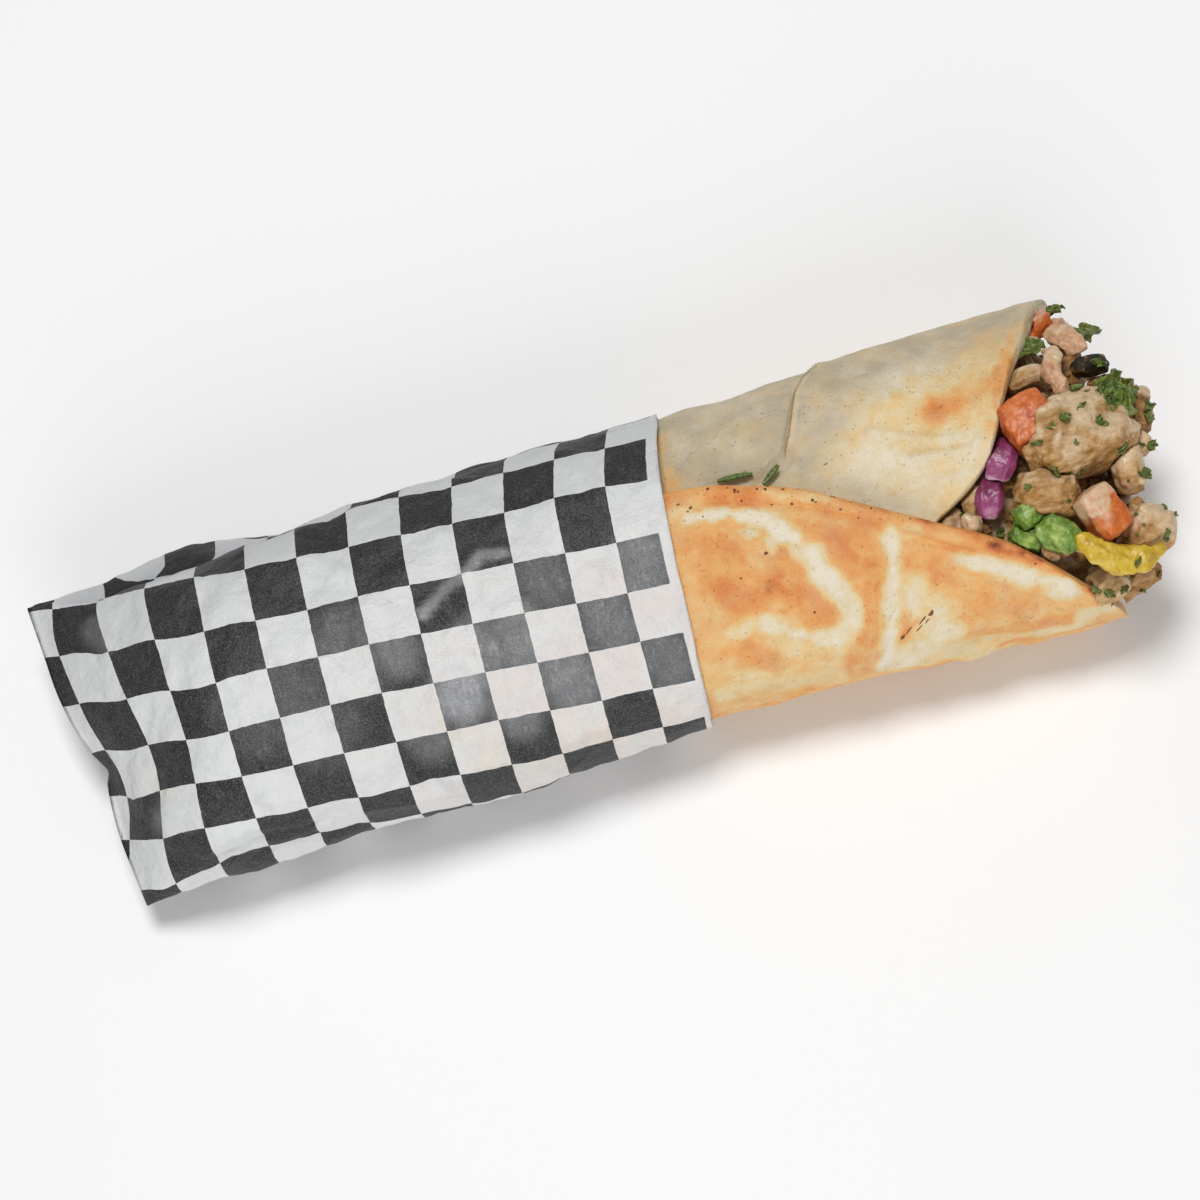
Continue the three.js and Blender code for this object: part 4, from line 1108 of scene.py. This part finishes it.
def food_finish(name, settings, colour_of, roughness, relief, depth, coat=0.0, scatter=0.1):
    """A food's own colour under its sauce, with fine relief and a wet coat where it is juicy."""
    finish = Finish(name, IOR=1.4, Coat_Roughness=0.22, Subsurface_Weight=scatter, Subsurface_Scale=0.003)
    thin = finish.clouds(1.4, 4, 0.65).above(0.35, 0.6)
    sauce = finish.stored("sauce") * (0.62 + 0.38 * thin)
    own = colour_of(finish)
    streaked = finish.mix(finish.clouds(2.6, 4, 0.6).above(0.38, 0.66), settings.sauce, paint(218, 188, 148))
    colour = finish.mix(sauce * 0.92, own, streaked)
    height = relief(finish) * (1 - sauce * 0.6)
    rough = roughness + (finish.clouds(1.6, 2) - 0.5) * 0.2 - sauce * 0.12
    return finish.done(colour, rough, height, depth, sauce * 0.25 + coat)


def meat_finish(settings, name="roast_meat", seared=0.0):
    def colour_of(finish):
        strands = finish.clouds(1.5, 5, 0.68, stretch=(2.4, 1, 1)) + finish.stored("tone") * 0.14
        colour = finish.ramp(strands, (
            (0.30, settings.meat_dark), (0.40, paint(138, 94, 48)), (0.50, settings.meat),
            (0.60, paint(190, 148, 94)), (0.72, settings.meat_light),
        ))
        pits = (1 - finish.cells(1.9).above(0.08, 0.3)) * finish.clouds(2.6, 2).above(0.45, 0.6)
        colour = finish.tinted(
            colour,
            (finish.clouds(4.0, 4, 0.6).above(0.5, 0.66) * 0.55, 180, 130, 52),
            (finish.clouds(5.0, 3).above(0.56, 0.7) * 0.35, 176, 120, 96),
            (pits * 0.5, 122, 80, 34),
        )
        burnt = finish.clouds(3.0, 4, 0.6).above(0.68 - 0.4 * seared, 0.8 - 0.3 * seared)
        crust = finish.mix(seared, settings.meat_dark, paint(34, 30, 20))
        return finish.mix(burnt * (0.5 + 0.5 * seared), colour, crust)

    def relief(finish):
        return finish.clouds(1.2, 5, 0.7, stretch=(2.4, 1, 1)) + finish.cells(1.7) * 0.3

    return food_finish(name, settings, colour_of, 0.55, relief, 0.6, 0.06)


def onion_finish(settings):
    def colour_of(finish):
        depth = finish.stored("layer") + (finish.clouds(2.0, 3) - 0.5) * 0.35
        flesh = finish.ramp(depth, (
            (0.0, settings.onion_pale), (0.2, paint(190, 148, 164)), (0.32, paint(156, 72, 118)),
            (0.8, settings.onion),
        ))
        veins = finish.clouds(0.7, 3, 0.6, stretch=(1, 5, 1)).above(0.52, 0.75)
        return finish.mix(veins * 0.16, flesh, settings.onion_pale)

    def relief(finish):
        return finish.clouds(0.9, 3, 0.6, stretch=(1, 5, 1))

    return food_finish("red_onion", settings, colour_of, 0.36, relief, 0.2, 0.25, 0.15)


def flesh_finish(name, settings, clouds, stops, flecks, relief, roughness, depth, coat, scatter):
    """A vegetable's flesh: a ramp over clouds, finer flecks of another colour, and a relief of clouds."""

    def colour_of(finish):
        colour = finish.ramp(finish.clouds(*clouds), stops)
        for fleck, low, high, share, tint in flecks:
            colour = finish.mix(finish.clouds(*fleck).above(low, high) * share, colour, tint)
        return colour

    def relief_of(finish):
        return sum(finish.clouds(*hump) * weight for weight, *hump in relief)

    return food_finish(name, settings, colour_of, roughness, relief_of, depth, coat, scatter)


def tomato_finish(settings):
    stops = ((0.3, paint(178, 74, 30)), (0.5, settings.tomato), (0.72, settings.tomato_pale))
    flecks = [((0.9, 3), 0.55, 0.8, 0.35, paint(236, 166, 132))]
    relief = ((1, 2.0, 4, 0.6), (0.15, 0.5, 2))
    return flesh_finish("tomato_flesh", settings, (3.6, 4, 0.6), stops, flecks, relief, 0.38, 0.3, 0.18, 0.02)


def strand_finish(settings):
    stops = ((0.3, paint(182, 134, 98)), (0.5, paint(212, 166, 128)), (0.7, paint(226, 192, 156)))
    relief = [(1, 1.2, 4, 0.6)]
    return flesh_finish("sauced_onion", settings, (2.2, 4, 0.6), stops, (), relief, 0.4, 0.3, 0.2, 0.15)


def yellow_pepper_finish(settings):
    stops = ((0.3, paint(180, 146, 36)), (0.5, settings.yellow), (0.72, paint(226, 200, 108)))
    flecks = [((0.8, 2), 0.6, 0.8, 0.3, paint(232, 212, 140))]
    relief = [(1, 1.3, 4, 0.6)]
    clouds = (3.0, 4, 0.6)
    return flesh_finish("banana_pepper", settings, clouds, stops, flecks, relief, 0.34, 0.3, 0.25, 0.15)


def green_finish(settings, name, dark, middle, light, size):
    stops = ((0.32, dark), (0.5, middle), (0.7, light))
    flecks = [((0.9, 3, 0.6), 0.56, 0.74, 0.4, light)]
    relief = ((1, 1.1, 4, 0.6), (1, 3.0, 3, 0.6))
    return flesh_finish(name, settings, (size, 4, 0.65), stops, flecks, relief, 0.36, 0.4, 0.25, 0.1)


MEATS = (  # node, voxel, sauce amount, roughening in mm, paleness
    ("meat_chunk_large", 0.45, 0.45, 1.0, 0.6), ("meat_chunk_lower", 0.4, 0.16, 0.9, 0.4),
    ("meat_bit_inner", 0.35, 0.35, 0.5, 1.0), ("meat_slice_right", 0.35, 0.42, 0.6, 0.8),
    ("meat_slice_low", 0.35, 0.12, 0.6, 0.2), ("chicken_low", 0.35, 0.50, 0.6, 1.3),
    ("chicken_edge", 0.35, 0.50, 0.6, 1.2), ("chicken_tip", 0.3, 0.35, 0.5, 1.2),
    ("meat_seared_top", 0.35, 0.0, 0.8, 0.0), ("meat_seared_end", 0.35, 0.22, 0.7, -0.6),
    ("onion_slice_inner", 0.3, 0.34, 0.4, 1.0),
)


class WRAP_OT_meat(bpy.types.Operator):
    """Makes the pieces of meat that show, with their strands, seared edges and sauce"""

    bl_idname = "wrap.meat"
    bl_label = "Meat"

    def execute(self, context):
        settings = context.scene.wrap_filling
        tender = meat_finish(settings)
        seared = meat_finish(settings, "seared_meat", 1.0)
        for seed, (node, voxel, sauce, rough, paleness) in enumerate(MEATS):
            piece = refine(node, voxel, 5)
            rows = read(piece)
            strands = grain(rows * np.array((0.35, 1, 1)), 1.5, seed + 1, 3)
            lumps = grain(rows, 4.2, seed + 31, 2)
            swell(piece, rough * (0.45 * strands + 0.4 * lumps) - 0.1)
            sauced(piece, sauce, seed + 3, settings.sauce_depth / MM)
            store(piece, "tone", np.full(len(rows), paleness))
            finish_piece(piece, seared if node == "meat_seared_top" else tender, node, node)
        return {"FINISHED"}


VEGETABLES = (  # node, finish, voxel, sauce amount, roughening in mm
    ("tomato_cube", "tomato", 0.4, 0.0, 0.25), ("tomato_wedge", "tomato", 0.4, 0.34, 0.25),
    ("tomato_inner", "tomato", 0.3, 0.1, 0.15), ("onion_upper", "onion", 0.3, 0.0, 0.3),
    ("onion_lower", "onion", 0.3, 0.0, 0.3), ("onion_strand_top", "strand", 0.3, 0.2, 0.6),
    ("onion_strand_hanging", "strand", 0.3, 0.2, 0.6), ("banana_pepper", "yellow", 0.35, 0.0, 0.9),
    ("pepper_green_1", "green", 0.3, 0.0, 0.5), ("pepper_green_2", "green", 0.3, 0.0, 0.5),
    ("pepper_green_3", "green", 0.3, 0.0, 0.5),
)


class WRAP_OT_vegetables(bpy.types.Operator):
    """Makes the tomato, onion and peppers"""

    bl_idname = "wrap.vegetables"
    bl_label = "Vegetables"

    def execute(self, context):
        settings = context.scene.wrap_filling
        finishes = {
            "tomato": tomato_finish(settings),
            "onion": onion_finish(settings),
            "strand": strand_finish(settings),
            "yellow": yellow_pepper_finish(settings),
            "green": green_finish(
                settings, "green_pepper", paint(74, 102, 36), settings.green, paint(184, 200, 112), 3.0
            ),
        }
        for seed, (node, kind, voxel, sauce, rough) in enumerate(VEGETABLES):
            piece = refine(node, voxel, 3)
            rows = read(piece)
            swell(piece, rough * grain(rows, 4.0 if kind in ("yellow", "green") else 2.4, seed + 51, 3))
            middle = centre_of(rows)
            height = (rows[:, 1] - middle[1]) / (np.ptp(rows[:, 1]) + 0.01) + 0.35 * grain(rows, 4, seed, 2)
            store(piece, "layer", np.clip(0.62 + 0.9 * height, 0, 1))
            side = (-0.45, 0.75, 0.45) if node == "tomato_wedge" else (0.45, 0.75, 0.2)
            sauced(piece, sauce, seed + 23, settings.sauce_depth / MM, side)
            finish_piece(piece, finishes[kind], node, node)
        return {"FINISHED"}


LEAVES = (  # node, length, width, ruffle, leaflets, and its place: x, turn, rise, spin, lean
    ("parsley_sprig", 12, 8.5, 1.5, 7, (258.3, 83, 6, -70, 8)),
    ("herb_far", 6, 4.2, 0.8, 3, (254.6, 11, 3.4, -40, 0)),
    ("lettuce_tip", 9, 6.5, 1.0, 2, (257.6, 33.5, 0.6, 14, 14)),
    ("lettuce_inner", 7, 5.5, 0.9, 2, (244, 52, -1.6, 15, 0)),
)


def leaflet(name, length, width, ruffle, seed, thickness=0.5, grid=(30, 20)):
    """One curly leaf about the origin, in mm: lobed, ruffled and thin at its edge."""

    def form(p, q, side):
        across = 2 * q - 1
        lobes = 1 + 0.22 * np.sin(p * 15 + seed) + 0.1 * np.sin(p * 31 + 2 * seed)
        half = width / 2 * np.maximum(np.sin(math.pi * lerp(0.02, 0.98, p)), 0) ** 0.8 * lobes
        x = length * (p - 0.5) + 0.12 * length * np.abs(across) * np.sin(9 * p + seed)
        y = half * across
        curl = ruffle * (0.25 + 0.75 * np.abs(across)) * np.sin(8 * p + 3.5 * across + seed)
        curl += 0.35 * ruffle * np.sin(21 * p + 9 * across + 2 * seed) * np.abs(across)
        border = np.minimum(np.minimum(p, 1 - p) * 8, (1 - np.abs(across)) * 4)
        half_thick = thickness / 2 * np.sqrt(np.clip(border, 0, 1))
        return np.stack([x, y, curl + side * half_thick], axis=1), [0 * p]

    return two_faced(name, *grid, form, ["sauce"])


class WRAP_OT_leaves(bpy.types.Operator):
    """Makes the parsley, lettuce and herbs at the open end"""

    bl_idname = "wrap.leaves"
    bl_label = "Leaves"

    def execute(self, context):
        settings = context.scene.wrap_filling
        leaf = settings.leaf
        fresh = green_finish(settings, "herb_leaf", paint(54, 72, 30), leaf, paint(152, 162, 84), 1.6)
        dark = green_finish(settings, "lettuce_leaf", paint(52, 66, 34), leaf, paint(150, 152, 112), 1.8)
        for node, length, width, ruffle, count, (x, turn, rise, spin, lean) in LEAVES:
            leaflets = []
            for k in range(count):
                share = 0.62 if count > 3 else 0.85
                part = leaflet(f"{node}_{k}", length * share, width * share, ruffle, 1.7 * k + len(node))
                step = k / count * 2 * math.pi
                offset = Matrix.Translation((
                    0.22 * length * math.cos(step), 0.22 * width * math.sin(step), 0.5 * math.sin(3 * step),
                ))
                fan = Matrix.Rotation(step * 0.8, 4, "Z")
                tilt = Matrix.Rotation(0.35 * math.sin(2 * step + 1), 4, "X")
                place_on(part, mound_place(x, turn, rise, spin, lean) @ offset @ fan @ tilt)
                leaflets.append(part)
            leaves = joined(f"{node}_leaves", leaflets)
            finish_piece(leaves, dark if node == "lettuce_tip" else fresh, node, node)
        return {"FINISHED"}


class WRAP_OT_herb_strands(bpy.types.Operator):
    """Makes the two cut herbs that lie on the bread beside the near flap's rim"""

    bl_idname = "wrap.herb_strands"
    bl_label = "Cut herbs"

    def execute(self, context):
        settings = context.scene.wrap_filling
        leaf = settings.leaf
        finish = green_finish(settings, "cut_herb", paint(40, 58, 28), leaf, paint(112, 130, 74), 1.0)
        for node in ("chive_long", "chive_short"):
            piece = refine(node, 0.16, 2)
            sauced(piece, 0, 1, 0)
            finish_piece(piece, finish, node, node)
        return {"FINISHED"}


class WRAP_OT_core(bpy.types.Operator):
    """Makes the chopped meat that fills the roll and shows between the larger pieces"""

    bl_idname = "wrap.core"
    bl_label = "Meat filling"

    def execute(self, context):
        settings = context.scene.wrap_filling
        piece = refine("meat_filling", 0.85, 3)
        rows = read(piece) - SHIFT
        shown = smooth(rows[:, 0], 205, 218)
        crags = grain(rows, 3.4, 71, 3)
        swell(piece, (0.9 * crags - 0.5) * shown)
        sauced(piece, 0.10, 73, 0.3, (0.4, -0.1, 0.5))
        finish_piece(piece, meat_finish(settings, "chopped_meat", 0.25), "meat_filling", "meat_filling")
        return {"FINISHED"}


def scatter_places(nodes, count, seed, low_x, spread, facing=(0, 0, 1), least=-0.15):
    """Places and normals on faces near the open end that look one way, spread by a seeded draw."""
    pieces = [bpy.data.objects[name] for name in nodes]
    places, normals = (np.concatenate([read(piece, what) for piece in pieces]) for what in ("co", "normal"))
    near_end = places[:, 0] - SHIFT[0] > low_x
    candidates = np.flatnonzero(near_end & (normals @ np.array(facing, float) > least))
    np.random.default_rng(seed).shuffle(candidates)
    found = []
    for index in candidates:
        place = places[index]
        if all(np.linalg.norm(place - other) > spread for other, _ in found):
            found.append((place, normals[index]))
        if len(found) == count:
            break
    return found


PILE_LAYERS = (0.2, 2.2, 4.6, 7.2, 10)  # depth in mm under the pieces that stand on the filling
PILE_TRIES = 520  # places drawn for each layer
FAR_SHARE = 0.35  # of them that are drawn again for the thinly covered far side
PACKING = 0.72  # how near two bits may lie, as a share of their radii
PILE_X = (208, 257)  # where the bits lie along the roll and round it
OPEN_TURNS = (4, 176)
FAR_X = (236, 257)  # where those of the far side lie
FAR_TURNS = (4, 66)
END_BITS = 110  # on the core's open end
END_SPREAD = 3.4  # mm between them at least
HOLLOWS = (  # dark gaps: x and y in the frame
    (90.8, -19.6), (93.6, -21.4), (106, -32.1), (82, -14), (112.4, 10.6),
)
HOLLOW_REACH = 3.0
HOLLOW_DEPTH = 6
PATCHES = (  # bits between the pieces of the far side: place in mm, radius
    (251.1, 16.2, 34.3, 3.0), (253.4, 18.2, 32.0, 2.6), (258.6, 10.0, 33.0, 2.6),
)


class WRAP_OT_pile(bpy.types.Operator):
    """Piles chopped meat in the gaps between the larger pieces, up from the core of the filling"""

    bl_idname = "wrap.pile"
    bl_label = "Chopped meat"

    def execute(self, context):
        settings = context.scene.wrap_filling
        seen = context.evaluated_depsgraph_get()
        names = sorted(piece.name for piece in bpy.data.objects)
        names = [name for name in names if name.endswith(("_food", "_leaves", "bread_sheet"))]
        trees = [BVHTree.FromObject(bpy.data.objects[name], seen) for name in names]
        draw = np.random.default_rng(21)
        lumps, taken = [], []
        for depth in PILE_LAYERS:
            for _ in range(PILE_TRIES):
                x, turn, radius = draw.uniform(*PILE_X), draw.uniform(*OPEN_TURNS), draw.uniform(1.2, 2.7)
                tone, spin, tip = draw.uniform(-0.6, 1.3), draw.uniform(0, 360), draw.uniform(-50, 50)
                if draw.random() < FAR_SHARE:
                    x, turn, radius = draw.uniform(*FAR_X), draw.uniform(*FAR_TURNS), draw.uniform(1.0, 1.9)
                tone += 1.2 * (turn > 146) - 1.8 * (turn < 34 and x > 246)
                matrix = mound_place(x, turn, -depth - radius * 0.6, spin, tip)
                middle = np.array(matrix.translation)
                shown = curve_at(FREE_EDGE, x) + 3 < turn < curve_at(RIM, x) - 3
                if depth < BREAD + 1 and not shown:
                    continue
                from_hollow = min(math.dist(middle[:2] + SHIFT[:2], hollow) for hollow in HOLLOWS)
                if depth < HOLLOW_DEPTH and from_hollow < HOLLOW_REACH:
                    continue
                if any(np.linalg.norm(middle - other) < PACKING * (radius + size) for other, size in taken):
                    continue
                if not self.is_clear(trees, Vector(middle + SHIFT), 0.45 * radius):
                    continue
                taken.append((middle, radius))
                lumps.append(self.chop(len(lumps), radius, matrix, tone))
        ends = scatter_places(["meat_filling_food"], END_BITS, 8, 244, END_SPREAD, (1, 0, 0), 0.35)
        for k, (place, normal) in enumerate(ends):
            matrix = standing(place, normal, 1.7 * k, 0.2)
            lumps.append(self.chop(len(lumps), 1.5 + 0.25 * (k % 5), matrix, k % 3 - 1))
        for x, y, z, radius in PATCHES:
            lumps.append(self.chop(len(lumps), radius, Matrix.Translation((x, y, z)), -0.4))
        pile = joined("chopped_meat", lumps)
        finish_piece(pile, meat_finish(settings, "chopped_meat_bits", 0.1), "meat_filling")
        return {"FINISHED"}

    def chop(self, seed, radius, matrix, tone):
        """One chopped bit of meat; a higher tone is paler and has more sauce."""
        lump = fleck_blob(f"lump_{seed}", (1.35 * radius, radius, 0.75 * radius), seed, 3, 0.6)
        cover = smooth(grain(read(lump), 2.0, seed, 2) + tone, 0.3, 0.9)
        place_on(lump, matrix)
        store(lump, "sauce", cover)
        store(lump, "tone", np.full(len(cover), tone))
        return lump

    def is_clear(self, trees, place, margin):
        """Whether a place (mm) lies outside every piece by at least the margin."""
        for tree in trees:
            nearest, normal, _, away = tree.find_nearest(place * MM, 20 * MM)
            if nearest is not None and (away < margin * MM or (place * MM - nearest).dot(normal) < 0):
                return False
        return True


HERBS = (  # larger shreds of herb: x and y seen from above in mm, length, width, spin
    (127.5, -17.6, 3.6, 2.8, 20), (133, -3.9, 3, 2.2, 80), (131.6, -10.4, 3, 2, 60),
    (84.2, -12.8, 5, 2.6, 50), (110.7, -41, 3, 2, -40), (114.3, -41.3, 2.4, 1.6, 30),
    (108.2, -39.4, 3, 1.6, -50), (118.6, 5.6, 3.4, 2.2, 30), (112.4, -2.6, 3.2, 2.6, 0),
    (120.2, -4.4, 2.8, 2, 70), (134, -1.4, 3.4, 2.2, 10), (126.4, 12.4, 3.6, 2.2, -30),
    (132.6, 3.6, 3.4, 2.4, 70), (99.4, -14.6, 2.2, 1.4, 0), (91.6, -19, 3.4, 1.8, 40),
    (121.6, -20.6, 2.6, 1.6, 20), (104.4, -32, 2.2, 1.4, 0), (117.8, -38.6, 2.4, 1.4, 50),
)
LOWEST_HERB = 15 * MM  # anything lower lies on the floor
FLECKS = 90
FLECK_SPREAD = 2.2  # mm between them at least
FLECK_GRID = (22, 14)  # faces along a shred and across it


class WRAP_OT_crumbs(bpy.types.Operator):
    """Scatters the small herb flecks that cling to the filling"""

    bl_idname = "wrap.crumbs"
    bl_label = "Herb flecks"

    def execute(self, context):
        settings = context.scene.wrap_filling
        holders = [f"{node}_food" for node, *_ in MEATS] + ["meat_filling_food", "chopped_meat"]
        flecks = []
        for k, (place, normal) in enumerate(scatter_places(holders, FLECKS, 5, 214, FLECK_SPREAD)):
            size = 0.7 + 1.4 * ((k * 37) % 10) ** 2 / 100
            length, ruffle = size * (1.3 + 0.6 * (k % 3)), 0.25 + 0.2 * size
            fleck = leaflet(f"fleck_{k}", length, size, ruffle, k, 0.22, FLECK_GRID)
            place_on(fleck, standing(place, normal, k * 1.3, -0.1))
            flecks.append(fleck)
        deps = context.evaluated_depsgraph_get()
        for k, (x, y, length, width, spin) in enumerate(HERBS):
            above = Vector((x, y, 60)) * MM
            found, place, normal, *_ = context.scene.ray_cast(deps, above, Vector((0, 0, -1)))
            if not found or place.z < LOWEST_HERB:
                raise RuntimeError(f"Nothing lies under the herb at {x}, {y}")
            leaf = leaflet(f"herb_{k}", length, width, 0.3 * width, k + 7, 0.3, FLECK_GRID)
            place_on(leaf, standing(np.array(place) / MM, normal, math.radians(spin), -0.4))
            flecks.append(leaf)
        dark, light = paint(50, 64, 26), paint(140, 148, 78)
        herb = green_finish(settings, "herb_fleck", dark, settings.leaf, light, 0.8)
        finish_piece(joined("herb_flecks", flecks), herb, "parsley_sprig")
        return {"FINISHED"}


# ---- The stage ----------------------------------------------------------------------------------
class StageSettings(bpy.types.PropertyGroup):
    """The camera's angle, the floor and the studio light."""

    elevation: number_property("Elevation", "Camera height", math.radians(70), "ROTATION")
    tilt: number_property("Tilt", "Camera roll", math.radians(17), "ROTATION")
    lens: number_property("Lens", "Focal length in mm", 85, "CAMERA")
    floor: colour_property("Floor", "Colour of the plain floor", 255, 255, 255)
    key: number_property("Key light", "Power of the soft overhead light", 7.2, "POWER")
    fill: number_property("Fill light", "Power of the near side's light", 4.8, "POWER")
    air: number_property("Ambient", "Strength of the light from all round", 0.27, "NONE")


VIEW_X = 128.5  # the point of the wrap that the camera looks at
VIEW_Y = -0.96
VIEW_Z = 22
VIEW_WIDTH = 289.8 * MM  # of the frame at that point
SENSOR = 36


def soft_light(name, size, power, place, aim):
    light = bpy.data.lights.new(name, "AREA")
    light.shape = "DISK"
    light.size = size
    light.energy = power
    holder = bpy.data.objects.new(name, light)
    bpy.context.scene.collection.objects.link(holder)
    turned = (aim - place).to_track_quat("-Z", "Y").to_matrix()
    holder.matrix_world = Matrix.Translation(place) @ turned.to_4x4()


class WRAP_OT_stage(bpy.types.Operator):
    """Sets up the plain floor, the soft studio light and the camera"""

    bl_idname = "wrap.stage"
    bl_label = "Stage"

    def execute(self, context):
        settings = context.scene.wrap_stage
        bpy.ops.object.select_all(action="DESELECT")
        bpy.ops.mesh.primitive_plane_add(size=6)
        floor = bpy.context.object
        floor.name = "stage_floor"
        finish = Finish("floor_paper", Specular_IOR_Level=0.2)
        shade = finish.mix(finish.clouds(60, 2) * 0.04, settings.floor, paint(248, 248, 249))
        floor.data.materials.append(finish.done(shade, 0.85))

        aim = Vector((VIEW_X + SHIFT[0], VIEW_Y + SHIFT[1], VIEW_Z)) * MM
        soft_light("key_light", 0.4, settings.key, aim + Vector((0.0, 0.25, 1.1)), aim)
        soft_light("fill_light", 0.8, settings.fill, aim + Vector((-0.1, -1.0, 0.5)), aim)
        world = bpy.data.worlds.new("studio_air")
        world.use_nodes = True
        background = world.node_tree.nodes["Background"].inputs
        background["Color"].default_value = (1, 1, 1, 1)
        background["Strength"].default_value = settings.air
        context.scene.world = world

        forward = Vector((0, math.cos(settings.elevation), -math.sin(settings.elevation)))
        right = Vector((1, 0, 0))
        turned = Matrix((right, right.cross(forward), -forward)).transposed()
        turned = turned @ Matrix.Rotation(-settings.tilt, 3, "Z")
        context.scene.view_settings.view_transform = "Standard"
        camera = bpy.data.cameras.new("camera")
        camera.lens = settings.lens
        camera.sensor_width = SENSOR
        camera.clip_start = 0.01
        holder = bpy.data.objects.new("camera", camera)
        context.scene.collection.objects.link(holder)
        distance = VIEW_WIDTH * settings.lens / SENSOR
        holder.matrix_world = Matrix.Translation(aim - forward * distance) @ turned.to_4x4()
        context.scene.camera = holder
        return {"FINISHED"}


class WRAP_PT_panel(bpy.types.Panel):
    """Lists the wrap's pieces and their settings"""

    bl_idname = "WRAP_PT_panel"
    bl_label = "Gyro Wrap"
    bl_space_type = "VIEW_3D"
    bl_region_type = "UI"
    bl_category = "Gyro Wrap"

    def draw(self, context):
        for operator in PIECES:
            self.layout.operator(operator.bl_idname)
        for holder in SETTINGS:
            group = getattr(context.scene, holder)
            box = self.layout.box()
            for key in group.__annotations__:
                box.prop(group, key)


SETTINGS = {
    "wrap_sleeve": SleeveSettings,
    "wrap_bread": BreadSettings,
    "wrap_filling": FillingSettings,
    "wrap_stage": StageSettings,
}
PIECES = (
    WRAP_OT_stage, WRAP_OT_sleeve, WRAP_OT_flatbread, WRAP_OT_meat, WRAP_OT_vegetables, WRAP_OT_leaves,
    WRAP_OT_herb_strands, WRAP_OT_core, WRAP_OT_pile, WRAP_OT_crumbs,
)


def register():
    for kind in (*SETTINGS.values(), *PIECES, WRAP_PT_panel):
        bpy.utils.register_class(kind)
    for holder, kind in SETTINGS.items():
        setattr(bpy.types.Scene, holder, PointerProperty(type=kind))


def unregister():
    for holder in SETTINGS:
        delattr(bpy.types.Scene, holder)
    for kind in (WRAP_PT_panel, *reversed(PIECES), *reversed(SETTINGS.values())):
        bpy.utils.unregister_class(kind)


def main():
    register()
    bpy.ops.wrap.stage()
    bpy.ops.wrap.sleeve()
    bpy.ops.wrap.flatbread()
    bpy.ops.wrap.meat()
    bpy.ops.wrap.vegetables()
    bpy.ops.wrap.leaves()
    bpy.ops.wrap.herb_strands()
    bpy.ops.wrap.core()
    bpy.ops.wrap.pile()
    bpy.ops.wrap.crumbs()


if __name__ == "__main__":
    main()
